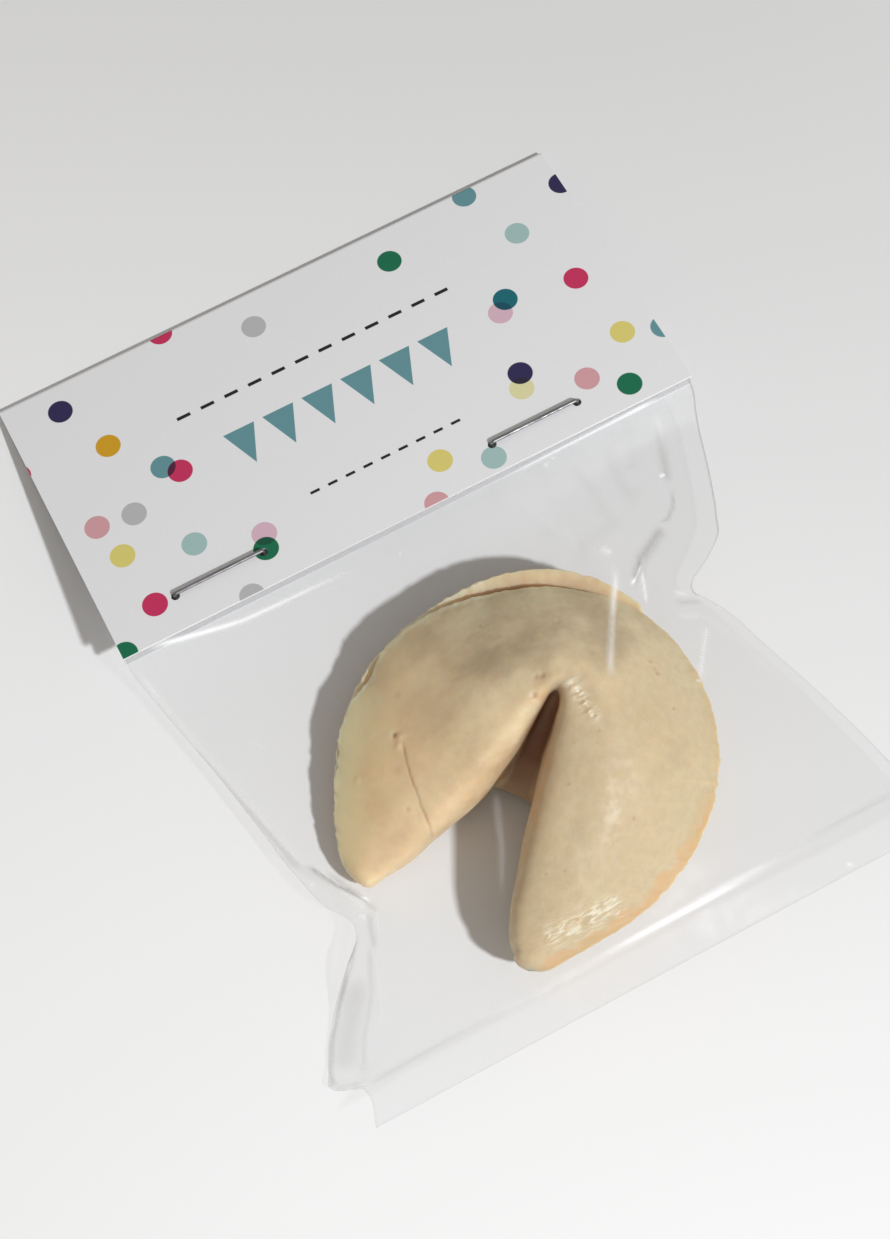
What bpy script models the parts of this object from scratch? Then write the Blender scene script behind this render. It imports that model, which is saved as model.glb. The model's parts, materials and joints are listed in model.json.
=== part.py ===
"""A fortune cookie lying in a clear film bag that a stapled header card closes.

Metres, +Z up.  The origin is on the resting surface under the middle of the whole
pack, +Y points along the bag to the header card, and +X runs along the card's fold.

The cookie is a thin round wafer folded over and bent, so it is one thin crust: its two
layers meet at the crease, which forms the notch between the horns, and they stay a
slit apart along the round rim.  The bag is a thin-walled pouch that is open only
between the card's two flaps.
"""

import bpy
import bmesh
from math import cos, exp, pi, radians, sin, sqrt
from mathutils import Vector
from mathutils.bvhtree import BVHTree

MM = 0.001
GAP = 0.3 * MM                      # clearance between pieces that touch

# Cookie, seen from above: a round rim, broken by the notch between two horns.
RIM_CENTRE = Vector((-1.7, -21.2)) * MM
RIM_RADIUS = 22.7 * MM
RIM_TUCK = 1.4 * MM                 # how far the upper layer is drawn in at the far side
RIM_TUCK_AT, RIM_TUCK_SPREAD = -0.33, 0.28
LIP = 2.5 * MM                      # how far the lower layer stands out beyond the upper one
LIP_AT, LIP_SPREAD = -0.17, 0.24
TIP_REACH = 3.7 * MM                # the horns' tips reach past the round rim
LEFT_TIP_ANGLE, RIGHT_TIP_ANGLE = radians(186.5), radians(-116.0)
LEFT_TIP_TAPER, RIGHT_TIP_TAPER = 6, 10
NOTCH_APEX = Vector((3.0, -17.3)) * MM
NOTCH_BLUNTNESS = Vector((0.45, -0.6)) * MM   # from the apex's middle to its right corner
NOTCH_END = 0.12                    # the crease turns round the apex up to this s
LEFT_LEG = (Vector((-18.5, -30.4)) * MM, Vector((-27.2, -26.1)) * MM)
RIGHT_LEG = (Vector((-15.6, -37.0)) * MM, Vector((-15.2, -42.6)) * MM)

# Cookie, in height.
CRUST = 1.9 * MM                    # thickness of the wafer
RIM_CRUST = 1.25 * MM               # and of its edge
RIM_THINNING = 3                    # more keeps the wafer thick for longer
FOLD_WALL, NARROW_FOLD_WALL = 1.1, 0.55   # at the crease, in crusts and in widths
SLIT = 0.45 * MM                    # between the two layers along the rim
RIDGE_HEIGHT = 18.6 * MM
LEFT_TIP_HEIGHT, RIGHT_TIP_HEIGHT = 4.9 * MM, 7.6 * MM
HORN_TAPER = 2.6
RIM_HEIGHT = 6.5 * MM
LEFT_RIM_HEIGHT, RIGHT_RIM_HEIGHT = 3.1 * MM, 5.3 * MM
RIM_TAPER = 1.5
BASE_CLEARANCE = 0.05 * MM          # more than GAP, under the cookie's middle
LEFT_TIP_BASE, RIGHT_TIP_BASE = 1.3 * MM, 3.2 * MM
BASE_TAPER = 6
CREASE_SHARE = 0.42                 # the crease's height, from base to ridge
RIDGE_AT_NOTCH, RIDGE_AT_HORN = 0.20, 0.42   # the ridge's place, crease to rim
HORN_FROM = 0.5                     # the ridge has its place on the horns from this s
LEFT_SAG, MIDDLE_SAG, RIGHT_SAG = 0.5, 0.1, -0.1   # 0 falls straight from ridge to rim
SAG_FROM = 0.45
RIDGE_ROUNDING = 0.12
BELLY_AT, BELLY_SAG = 0.45, -0.8
FOLD_FULLNESS = 3.0                 # 2 folds the crease round, more makes it squarer
SLOPE_STEP = 0.01
STEEPEST_WALL = 2.4                 # a steep wall's height is at most this many crusts
SECTIONS = 41
OUTER_POINTS = 12
OUTER_CROWDING = 1.7                # above 1, points crowd towards the crease
INNER_POINTS = 9
INNER_CROWDING = 1.4
LIP_ONSET = 4                       # more keeps the lip nearer the rim

# Header card: two flaps of one folded card, which rises from its fold.
CARD_WIDTH = 80.0 * MM
FLAP = 40.2 * MM
CARD = 0.35 * MM
CARD_TILT = radians(9.95)
FOLD_Y = 52.0 * MM
FOLD_HEIGHT = 1.0 * MM
FOLD_THICKNESS = 0.95 * MM
FLARE = 9.0 * MM                    # the flaps part over this length from the fold
FOLD_STEPS = 6

# Staples.
WIRE = 0.3 * MM                     # radius
CROWN = 12.8 * MM
STAPLE_BEND = 0.45 * MM
CLINCH = 4.6 * MM                   # each leg's end, folded in behind the card
BEND_STEPS = 4
STAPLES = {"staple_left": (-24.7 * MM, 35.6 * MM), "staple_right": (19.4 * MM, 36.3 * MM)}
HOLE = WIRE + GAP
HOLE_DEPTH = 8.0 * MM
HOLE_SIDES = 10

# Bag: half as wide again as the cookie, drawn in beside it and flat at its sealed end.
FILM = 0.3 * MM
FILM_GAP = 0.25 * MM                # between the two films where they lie together
MOUTH = 9.5 * MM                    # the mouth's distance from the fold
SEAL_Y = -51.85 * MM
SEAL_HEIGHT = 6.6 * MM
SIDE_HEIGHT = 3.6 * MM
LEFT_SIDE = [(12.4, -40.2), (-1, -36.8), (-21, -33.2), (-29, -30.0), (-32.3, -28.2),
             (-35.2, -31.6), (-39, -36.2), (-43, -38.8), (-51.85, -38.4)]
RIGHT_SIDE = [(12.4, 40.0), (0.5, 36.6), (-6.5, 33.6), (-11.0, 29.4), (-15, 29.6),
              (-22, 31.6), (-42, 37.6), (-51.85, 39.6)]
REST_FRONT, REST_BACK = -34.0 * MM, -4.0 * MM   # the flat patch that the pack rests on
REST_LEFT, REST_RIGHT = -17.0 * MM, 14.0 * MM
SEAL_RISE, CARD_RISE, SIDE_RISE = 2.0, 1.5, 1.8   # 1 rises straight from that patch
SIDE_SMOOTHING = 0.4                # 0 joins a side's points straight
FILM_INSET = 0.2 * MM               # the film's edges are this far inside the card's
DRAPE_CLEARANCE = 0.15 * MM
CARD_ROWS = 4
FREE_ROWS = 24
COLUMNS = 16
DRAPE_PASSES = 700


def clear_scene():
    for old in list(bpy.data.objects):
        bpy.data.objects.remove(old, do_unlink=True)


def material(name, colour, roughness, metallic=0.0, alpha=1.0):
    made = bpy.data.materials.new(name)
    made.use_nodes = True
    shader = made.node_tree.nodes["Principled BSDF"]
    shader.inputs["Base Color"].default_value = (*colour, 1.0)
    shader.inputs["Roughness"].default_value = roughness
    shader.inputs["Metallic"].default_value = metallic
    shader.inputs["Alpha"].default_value = alpha
    made.diffuse_color = (*colour, alpha)
    return made


def mesh_object(name, bm, owner, surface=None):
    mesh = bpy.data.meshes.new(name)
    bm.to_mesh(mesh)
    bm.free()
    made = bpy.data.objects.new(name, mesh)
    owner.objects.link(made)
    if surface:
        mesh.materials.append(surface)
    return made


def collection(name):
    made = bpy.data.collections.new(name)
    bpy.context.scene.collection.children.link(made)
    return made


def mix(a, b, share):
    return a + (b - a) * share


def smooth_step(share):
    share = min(1.0, max(0.0, share))
    return share * share * (3.0 - 2.0 * share)


def bell(value, middle, spread):
    return exp(-((value - middle) / spread) ** 2)


def through(points, y):
    """Reads a side outline, given as (y, x) in mm, at y: a smooth run between points."""
    y_mm = min(points[0][0], y / MM)
    for (y0, x0), (y1, x1) in zip(points, points[1:]):
        if y_mm >= y1:
            share = (y0 - y_mm) / (y0 - y1)
            return mix(x0, x1, mix(share, smooth_step(share), SIDE_SMOOTHING)) * MM
    return points[-1][1] * MM


# ---------------------------------------------------------------- cookie

def for_side(s, left, right):
    return left if s < 0 else right


def rim_point(s, beyond=0.0):
    """The rim at s, from -1 at the left tip over the far side to 1 at the right tip."""
    middle = (LEFT_TIP_ANGLE + RIGHT_TIP_ANGLE) / 2
    half = (LEFT_TIP_ANGLE - RIGHT_TIP_ANGLE) / 2
    angle = middle - half * s
    radius = (RIM_RADIUS - RIM_TUCK * bell(s, RIM_TUCK_AT, RIM_TUCK_SPREAD)
              + TIP_REACH * abs(s) ** for_side(s, LEFT_TIP_TAPER, RIGHT_TIP_TAPER) + beyond)
    return RIM_CENTRE + radius * Vector((cos(angle), sin(angle)))


def crease_point(s):
    """The folded edge at s: each leg of the notch bends once on its way to its tip."""
    belly, tip = for_side(s, LEFT_LEG, RIGHT_LEG)
    corner = NOTCH_APEX + NOTCH_BLUNTNESS * max(-1.0, min(1.0, s / NOTCH_END))
    share = s * s
    return (corner * (1 - share) ** 2 + belly * 2 * share * (1 - share)
            + tip * share ** 2)


def hump(t, peak, sag):
    """0 at the crease, where it stands upright, 1 at peak, and 0 again at the rim."""
    if t < peak:
        return (1.0 - (1.0 - t / peak) ** FOLD_FULLNESS) ** (1 / FOLD_FULLNESS)
    past = (t - peak) / (1.0 - peak)
    round_off = sqrt(1.0 + RIDGE_ROUNDING ** 2) - RIDGE_ROUNDING
    past = (sqrt(past ** 2 + RIDGE_ROUNDING ** 2) - RIDGE_ROUNDING) / round_off
    return (1.0 - past) * (1.0 - sag * past)


class CrustSection:
    """The cut through both layers at s, in distance from the crease and height."""

    def __init__(self, s):
        edge = abs(s)
        self.start = crease_point(s)
        across = rim_point(s) - self.start
        self.width = across.length
        self.direction = across.normalized()
        self.lip = (rim_point(s, LIP * bell(s, LIP_AT, LIP_SPREAD)) - rim_point(s)).length
        tip_height = for_side(s, LEFT_TIP_HEIGHT, RIGHT_TIP_HEIGHT)
        self.top = mix(RIDGE_HEIGHT, tip_height, edge ** HORN_TAPER)
        self.base = mix(FILM + GAP + BASE_CLEARANCE, for_side(s, LEFT_TIP_BASE, RIGHT_TIP_BASE),
                        edge ** BASE_TAPER)
        self.rim = mix(RIM_HEIGHT, for_side(s, LEFT_RIM_HEIGHT, RIGHT_RIM_HEIGHT),
                       edge ** RIM_TAPER)
        self.crease = mix(self.base, self.top, CREASE_SHARE)
        self.peak = mix(RIDGE_AT_NOTCH, RIDGE_AT_HORN, smooth_step(edge / HORN_FROM))
        self.sag = mix(MIDDLE_SAG, for_side(s, LEFT_SAG, RIGHT_SAG), smooth_step(edge / SAG_FROM))

    def wall(self, t):
        return mix(CRUST, RIM_CRUST, t ** RIM_THINNING)

    def middle(self, t):
        return mix(self.crease, self.rim, t)

    def upper(self, t):
        line = mix(self.crease, self.rim + SLIT / 2 + RIM_CRUST, t)
        at_peak = mix(self.crease, self.rim + SLIT / 2 + RIM_CRUST, self.peak)
        return line + (self.top - at_peak) * hump(t, self.peak, self.sag)

    def lower(self, t):
        line = mix(self.crease, self.rim - SLIT / 2 - RIM_CRUST, t)
        at_belly = mix(self.crease, self.rim - SLIT / 2 - RIM_CRUST, BELLY_AT)
        return max(self.base, line - (at_belly - self.base) * hump(t, BELLY_AT, BELLY_SAG))

    def inner(self, t, outer, sign):
        """The inside of a layer: its outside less the wall, measured square to it."""
        before, after = max(0.0, t - SLOPE_STEP), min(1.0, t + SLOPE_STEP)
        slope = (outer(after) - outer(before)) / ((after - before) * self.width)
        wall = self.wall(t) * min(STEEPEST_WALL, sqrt(1.0 + slope ** 2))
        inside = outer(t) - sign * wall
        nearest = self.middle(t) + sign * SLIT / 2
        return max(inside, nearest) if sign > 0 else min(inside, nearest)

    def outline(self):
        """The closed outline: over the upper layer, in at the slit, and out again."""
        outside = [(i / OUTER_POINTS) ** OUTER_CROWDING for i in range(OUTER_POINTS + 1)]
        fold = min(CRUST * FOLD_WALL / self.width, NARROW_FOLD_WALL)
        inside = [mix(fold, 1.0, (i / INNER_POINTS) ** INNER_CROWDING)
                  for i in range(INNER_POINTS + 1)]
        points = [(t, self.upper(t)) for t in outside]
        points += [(t, self.inner(t, self.upper, 1)) for t in reversed(inside)]
        points += [(self.reach(t), self.inner(t, self.lower, -1)) for t in inside]
        points += [(self.reach(t), self.lower(t)) for t in reversed(outside[1:])]
        return points

    def reach(self, t):
        """Where the lower layer's t lies: towards the rim it stands out as a lip."""
        return t * (1.0 + t ** LIP_ONSET * self.lip / self.width)

    def place(self):
        ring = []
        for t, height in self.outline():
            spot = self.start + self.direction * self.width * t
            ring.append(Vector((spot.x, spot.y, height)))
        return ring


def make_cookie(parts):
    bm = bmesh.new()
    rings = []
    for i in range(SECTIONS):
        s = -1.0 + 2.0 * i / (SECTIONS - 1)
        rings.append([bm.verts.new(point) for point in CrustSection(s).place()])
    for ring, following in zip(rings, rings[1:]):
        for i in range(len(ring)):
            j = (i + 1) % len(ring)
            bm.faces.new((ring[i], ring[j], following[j], following[i]))
    bm.faces.new(rings[0][::-1])
    bm.faces.new(rings[-1])
    bmesh.ops.recalc_face_normals(bm, faces=bm.faces)
    crust = material("baked_crust", (0.62, 0.48, 0.31), 0.5)
    cookie = mesh_object("cookie", bm, parts, crust)
    cookie.data.shade_smooth()
    return cookie


# ---------------------------------------------------------------- header card

def card_point(x, down, depth):
    """A place on the front flap: down from its fold, and depth below its surface."""
    return Vector((x,
                   FOLD_Y - down * cos(CARD_TILT) - depth * sin(CARD_TILT),
                   FOLD_HEIGHT + down * sin(CARD_TILT) - depth * cos(CARD_TILT)))


FRONT_FILM = CARD + GAP + FILM / 2
BACK_FILM = FRONT_FILM + FILM + FILM_GAP
BACK_FLAP = BACK_FILM + FILM / 2 + GAP + CARD / 2


def make_card(parts):
    """One strip over the fold and back, thickened, with the staples' holes."""
    bend = (FOLD_THICKNESS - CARD) / 2
    profile = [(FLAP, CARD / 2), (bend, CARD / 2)]
    for i in range(1, FOLD_STEPS):
        turn = pi * i / FOLD_STEPS
        profile.append((bend * (1 - sin(turn)), CARD / 2 + bend * (1 - cos(turn))))
    profile += [(bend, CARD / 2 + 2 * bend), (FLARE, BACK_FLAP), (FLAP, BACK_FLAP)]
    bm = bmesh.new()
    rows = []
    for down, depth in profile:
        rows.append([bm.verts.new(card_point(side * CARD_WIDTH / 2, down, depth))
                     for side in (-1, 1)])
    for row, following in zip(rows, rows[1:]):
        bm.faces.new((row[0], row[1], following[1], following[0]))
    paper = material("white_card", (0.80, 0.80, 0.82), 0.55)
    card = mesh_object("header_card", bm, parts, paper)
    thicken(card, CARD)
    return card


def thicken(owner, thickness):
    wall = owner.modifiers.new("wall", "SOLIDIFY")
    wall.thickness = thickness
    wall.offset = 0.0
    wall.use_even_offset = True


def cut(owner, cutter):
    hole = owner.modifiers.new("hole", "BOOLEAN")
    hole.operation = "DIFFERENCE"
    hole.solver = "EXACT"
    hole.object = cutter


# ---------------------------------------------------------------- staples

def make_staple(name, parts):
    """A wire from one folded-in end, up through the card, across and down again."""
    x, down = STAPLES[name]
    front, back = -(GAP + WIRE), BACK_FLAP + CARD / 2 + GAP + WIRE
    half = CROWN / 2 - WIRE
    one_side = [(half - CLINCH, back), (half - STAPLE_BEND, back)]
    for centre_depth, start in ((back - STAPLE_BEND, 0.0), (front + STAPLE_BEND, pi / 2)):
        for i in range(1, BEND_STEPS + 1):
            turn = start + (pi / 2) * i / BEND_STEPS - pi / 2
            one_side.append((half - STAPLE_BEND + STAPLE_BEND * cos(turn),
                             centre_depth - STAPLE_BEND * sin(turn)))
    route = one_side + [(-u, depth) for u, depth in reversed(one_side)]
    curve = bpy.data.curves.new(name, "CURVE")
    curve.dimensions = "3D"
    curve.bevel_depth = WIRE
    curve.bevel_resolution = 2
    curve.use_fill_caps = True
    spline = curve.splines.new("POLY")
    spline.points.add(len(route) - 1)
    for point, (u, depth) in zip(spline.points, route):
        point.co = (*card_point(x + u, down, depth), 1.0)
    staple = bpy.data.objects.new(name, curve)
    parts.objects.link(staple)
    curve.materials.append(material(name + "_wire", (0.45, 0.45, 0.46), 0.3, 1.0))
    return staple


def make_hole_cutters(cutters):
    """A round cutter along each staple's leg, square to the card."""
    made = []
    for name, (x, down) in STAPLES.items():
        for side in (-1, 1):
            bm = bmesh.new()
            bmesh.ops.create_cone(bm, cap_ends=True, segments=HOLE_SIDES, radius1=HOLE,
                                  radius2=HOLE, depth=HOLE_DEPTH)
            cutter = mesh_object(f"{name}_hole_{side}", bm, cutters)
            cutter.location = card_point(x + side * (CROWN / 2 - WIRE), down, BACK_FILM)
            cutter.rotation_euler = (-CARD_TILT, 0.0, 0.0)
            cutter.hide_render = True
            cutter.display_type = "WIRE"
            made.append(cutter)
    return made


# ---------------------------------------------------------------- bag

def end_lift(y):
    """How far the bag is off the surface at y, towards its sealed end or the card."""
    card_edge = card_point(0.0, FLAP, BACK_FILM)
    if y < REST_FRONT:
        share = (REST_FRONT - y) / (REST_FRONT - SEAL_Y)
        return (SEAL_HEIGHT - FILM) * share ** SEAL_RISE
    if y > REST_BACK:
        share = (y - REST_BACK) / (card_edge.y - REST_BACK)
        return (card_edge.z - FILM / 2) * share ** CARD_RISE
    return 0.0


def lower_film(x, y, left, right):
    """The film under the cookie: flat where the pack rests, rising to both sides."""
    lift = end_lift(y)
    side = max(SIDE_HEIGHT - FILM / 2, lift)
    share = 0.0
    if x < REST_LEFT:
        share = (REST_LEFT - x) / (REST_LEFT - left)
    if x > REST_RIGHT:
        share = (x - REST_RIGHT) / (right - REST_RIGHT)
    return FILM / 2 + lift + (side - lift) * share ** SIDE_RISE


def drape(floors):
    """Pulls the upper film taut over the floors under it, with its edges held."""
    heights = [floor[:] for floor in floors]
    for _ in range(DRAPE_PASSES):
        for i in range(1, len(heights) - 1):
            row, before, after = heights[i], heights[i - 1], heights[i + 1]
            for j in range(1, len(row) - 1):
                level = (before[j] + after[j] + row[j - 1] + row[j + 1]) / 4
                row[j] = max(level, floors[i][j])
    return heights


def near(under, x, y, cell, start, heading):
    """The heights where the cookie is met around a place, within half a cell."""
    met = []
    for across in (-0.5, 0.0, 0.5):
        for along in (-0.5, 0.0, 0.5):
            place = Vector((x + across * cell.x, y + along * cell.y, start))
            hit = under.ray_cast(place, Vector((0.0, 0.0, heading)))[0]
            if hit:
                met.append(hit.z)
    return met


def highest_near(under, x, y, cell):
    """The lowest that the upper film may lie at a place."""
    met = near(under, x, y, cell, 1.0, -1.0)
    return max(met) + GAP + FILM / 2 + DRAPE_CLEARANCE if met else 0.0


def lowest_near(under, x, y, cell):
    """The highest that the lower film may lie at a place."""
    met = near(under, x, y, cell, -1.0, 1.0)
    return max(FILM / 2, min(met) - GAP - FILM / 2) if met else 1.0


def spread(left, right):
    return [mix(left, right, j / (COLUMNS - 1)) for j in range(COLUMNS)]


def film_in_card(depth):
    """A film's rows between the flaps, from its mouth to the card's lower edge."""
    half = CARD_WIDTH / 2 - FILM_INSET
    rows = []
    for i in range(CARD_ROWS):
        down = mix(MOUTH, FLAP, i / (CARD_ROWS - 1))
        rows.append([card_point(x, down, depth) for x in spread(-half, half)])
    return rows


def free_film(under, edge):
    """Both films' rows from the card's lower edge, where the upper one starts, to the seal."""
    step = (edge[0].y - SEAL_Y) / FREE_ROWS
    floors = [[point.z for point in edge]]
    lower = []
    for i in range(1, FREE_ROWS + 1):
        y = edge[0].y - step * i
        left, right = through(LEFT_SIDE, y), through(RIGHT_SIDE, y)
        cell = Vector(((right - left) / (COLUMNS - 1), step))
        row, floor = [], []
        for x in spread(left, right):
            z = min(lower_film(x, y, left, right), lowest_near(under, x, y, cell))
            row.append(Vector((x, y, z)))
            floor.append(max(z + FILM + FILM_GAP, highest_near(under, x, y, cell)))
        lower.append(row)
        floors.append(floor)
    upper = []
    for row, heights in zip(lower, drape(floors)[1:]):
        upper.append([Vector((point.x, point.y, z)) for point, z in zip(row, heights)])
    return upper, lower


def make_bag(parts, cookie):
    """The two films as one open sleeve, closed across its sealed end and thickened."""
    bpy.context.view_layer.update()
    under = BVHTree.FromObject(cookie, bpy.context.evaluated_depsgraph_get())
    upper, lower = film_in_card(FRONT_FILM), film_in_card(BACK_FILM)
    free_upper, free_lower = free_film(under, upper[-1])
    bm = bmesh.new()
    rings = []
    for over, below in zip(upper + free_upper, lower + free_lower):
        rings.append([bm.verts.new(point) for point in over + below[::-1]])
    for ring, following in zip(rings, rings[1:]):
        for i in range(len(ring)):
            j = (i + 1) % len(ring)
            bm.faces.new((ring[i], following[i], following[j], ring[j]))
    end = rings[-1]
    for j in range(COLUMNS - 1):
        bm.faces.new((end[j], end[-1 - j], end[-2 - j], end[j + 1]))
    bmesh.ops.recalc_face_normals(bm, faces=bm.faces)
    film = material("clear_film", (0.95, 0.96, 0.97), 0.1, alpha=0.3)
    bag = mesh_object("bag", bm, parts, film)
    thicken(bag, FILM)
    return bag


def main():
    clear_scene()
    parts = collection("packed_fortune_cookie")
    cutters = collection("cutters")
    cookie = make_cookie(parts)
    card = make_card(parts)
    bag = make_bag(parts, cookie)
    for cutter in make_hole_cutters(cutters):
        cut(card, cutter)
        cut(bag, cutter)
    for name in STAPLES:
        make_staple(name, parts)


main()
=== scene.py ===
"""The looks of a fortune cookie in a clear film bag that a stapled header card closes.

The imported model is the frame.  The cookie and the bag are modelled finely in its place, the
card keeps its solid under a printed paper finish, and each staple becomes a flattened wire.
Sizes are in metres and in the frame's axes: +Z is up and +Y runs from the cookie to the card.
"""

import json
import logging
from dataclasses import dataclass, field
from enum import Enum
from math import cos, exp, pi, radians, sin, sqrt
from typing import Any, Callable, Sequence

import bmesh
import bpy
import numpy as np
from mathutils import Matrix, Vector, noise
from mathutils.bvhtree import BVHTree

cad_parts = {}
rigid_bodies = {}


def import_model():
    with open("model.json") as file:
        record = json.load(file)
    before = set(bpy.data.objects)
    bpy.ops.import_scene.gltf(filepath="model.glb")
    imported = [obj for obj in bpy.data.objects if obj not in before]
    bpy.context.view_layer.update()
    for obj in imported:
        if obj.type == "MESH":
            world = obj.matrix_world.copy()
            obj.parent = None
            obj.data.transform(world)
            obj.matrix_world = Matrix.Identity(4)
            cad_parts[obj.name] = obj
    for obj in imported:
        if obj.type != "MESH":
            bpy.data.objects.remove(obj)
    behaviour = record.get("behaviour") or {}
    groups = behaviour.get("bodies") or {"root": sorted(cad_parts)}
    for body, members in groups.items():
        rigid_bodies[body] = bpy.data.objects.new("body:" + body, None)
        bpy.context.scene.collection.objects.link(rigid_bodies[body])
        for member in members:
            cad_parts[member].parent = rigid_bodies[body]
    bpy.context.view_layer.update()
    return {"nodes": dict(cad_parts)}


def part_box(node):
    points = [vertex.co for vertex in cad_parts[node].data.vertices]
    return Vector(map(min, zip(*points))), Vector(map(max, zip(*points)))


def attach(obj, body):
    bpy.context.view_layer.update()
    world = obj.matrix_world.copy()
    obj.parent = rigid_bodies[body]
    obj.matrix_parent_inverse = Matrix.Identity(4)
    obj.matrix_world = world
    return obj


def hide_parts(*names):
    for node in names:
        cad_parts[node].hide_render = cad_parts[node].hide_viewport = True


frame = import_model()

MM = 0.001
BODY = "root"
LOG = logging.getLogger("packed_cookie")
RIM_ONLY = 7

Colour = tuple[float, float, float]
Place = tuple[float, float]


# ------------------------------------------------------------------ numbers

def mix(a: Any, b: Any, share: float) -> Any:
    """Returns the value that lies at share of the way from a to b."""
    return a + (b - a) * share


def clamp(value: float) -> float:
    """Returns the value kept between 0 and 1."""
    return min(1.0, max(0.0, value))


def smooth_step(share: float) -> float:
    """Returns 0 up to 0, 1 from 1, and an S-curve between them."""
    share = clamp(share)
    return share * share * (3.0 - 2.0 * share)


def bell(value: float, middle: float, spread: float) -> float:
    """Returns 1 at the middle, falling off to both sides over the spread."""
    return exp(-((value - middle) / spread) ** 2)


def wander(value: float, size: float, seed: float) -> float:
    """Returns smooth noise along a line.

    Args:
        value: The place along the line.
        size: The length over which the noise changes.
        seed: Picks one of many such lines.

    Returns:
        A number between about -1 and 1.
    """
    return noise.noise(Vector((value / size, seed, 0.5 * seed)))


def from_line(point: Vector, a: Vector, b: Vector) -> tuple[float, float]:
    """Measures a point against a straight run, both seen from above.

    Args:
        point: The point.
        a: The run's start.
        b: The run's end.

    Returns:
        The signed distance from the run's line, and the share of the way along it.
    """
    run = (b - a).to_2d()
    offset = (point - a).to_2d()
    along = offset.dot(run) / run.length_squared
    return (run.x * offset.y - run.y * offset.x) / run.length, along


# ------------------------------------------------------------------ node trees

class NodeSheet:
    """A node tree with short ways to add nodes and to join them."""

    def __init__(self, tree: bpy.types.NodeTree) -> None:
        """Keeps the tree that the nodes go in."""
        self.tree = tree

    def add(self, kind: str, sockets: dict[Any, Any] | None = None,
            **settings: Any) -> bpy.types.Node:
        """Adds one node.

        Args:
            kind: The node's class name without "ShaderNode".
            sockets: Input name or index to a value, or to the output that feeds it.
            **settings: The node's own settings.

        Returns:
            The new node.
        """
        node = self.tree.nodes.new("ShaderNode" + kind)
        for name, value in settings.items():
            setattr(node, name, value)
        self.feed(node, sockets or {})
        return node

    def feed(self, node: bpy.types.Node, sockets: dict[Any, Any]) -> None:
        """Joins a node's inputs to the outputs given for them, or sets their values."""
        for key, value in sockets.items():
            if isinstance(value, bpy.types.NodeSocket):
                self.tree.links.new(value, node.inputs[key])
            else:
                node.inputs[key].default_value = value

    def maths(self, operation: str, a: Any, b: Any = 0.0, c: float = 0.0,
              clamped: bool = False) -> Any:
        """Adds a Math node and returns its output."""
        node = self.add("Math", {0: a, 1: b, 2: c}, operation=operation, use_clamp=clamped)
        return node.outputs[0]

    def blend(self, share: Any, a: Any, b: Any, way: str = "MIX") -> Any:
        """Adds a colour Mix node and returns its output."""
        a, b = ((*value, 1.0) if isinstance(value, tuple) else value for value in (a, b))
        node = self.add("Mix", {0: share, 6: a, 7: b}, data_type="RGBA", blend_type=way)
        return node.outputs[2]

    def ramp(self, value: Any, low: float, high: float,
             to: tuple[float, float] = (0.0, 1.0)) -> Any:
        """Adds a smooth Map Range node from low and high to the two given values."""
        node = self.add("MapRange", {0: value, 1: low, 2: high, 3: to[0], 4: to[1]},
                        interpolation_type="SMOOTHSTEP")
        return node.outputs[0]

    def group(self, tree: bpy.types.NodeTree, sockets: dict[str, Any]) -> bpy.types.Node:
        """Adds a node group with its own values."""
        return self.add("Group", sockets, node_tree=tree)

    def attribute(self, name: str) -> Any:
        """Returns the value of one of the piece's own attributes."""
        return self.add("Attribute", attribute_name=name).outputs["Fac"]

    def objects(self) -> Any:
        """Returns the Object coordinates."""
        return self.add("TexCoord").outputs["Object"]


class EffectGroup:
    """A node group that several materials share, with named inputs and outputs."""

    def __init__(self, name: str, inputs: dict[str, Any], outputs: Sequence[str]) -> None:
        """Starts the group.

        Args:
            name: The group's name.
            inputs: Each input's name and its starting number, or None for a vector.
            outputs: The names of the outputs, which are all plain numbers.
        """
        self.tree = bpy.data.node_groups.new(name, "ShaderNodeTree")
        for key, value in inputs.items():
            kind = "NodeSocketVector" if value is None else "NodeSocketFloat"
            socket = self.tree.interface.new_socket(key, in_out="INPUT", socket_type=kind)
            if value is not None:
                socket.default_value = value
        for key in outputs:
            self.tree.interface.new_socket(key, in_out="OUTPUT", socket_type="NodeSocketFloat")
        self.sheet = NodeSheet(self.tree)
        self.given = self.tree.nodes.new("NodeGroupInput").outputs
        self.result = self.tree.nodes.new("NodeGroupOutput").inputs

    def put_out(self, name: str, value: Any) -> None:
        """Joins a value to one of the group's outputs."""
        self.tree.links.new(value, self.result[name])


def make_spot_group() -> bpy.types.NodeTree:
    """A round spot with a soft edge, the same at every depth.

    Returns:
        The group, which puts out the spot's mask.
    """
    group = EffectGroup("round_spot", {"Vector": None, "Centre": None, "Radius": 1.0 * MM,
                                       "Softness": 0.05 * MM}, ["Mask"])
    sheet = group.sheet
    offset = sheet.add("VectorMath", {0: group.given["Vector"], 1: group.given["Centre"]},
                       operation="SUBTRACT").outputs[0]
    flat = sheet.add("VectorMath", {0: offset, 1: (1.0, 1.0, 0.0)}, operation="MULTIPLY")
    distance = sheet.add("VectorMath", {0: flat.outputs[0]}, operation="LENGTH").outputs["Value"]
    inside = sheet.maths("SUBTRACT", group.given["Radius"], distance)
    share = sheet.maths("DIVIDE", inside, group.given["Softness"])
    group.put_out("Mask", sheet.maths("ADD", share, 0.5, clamped=True))
    return group.tree


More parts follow.
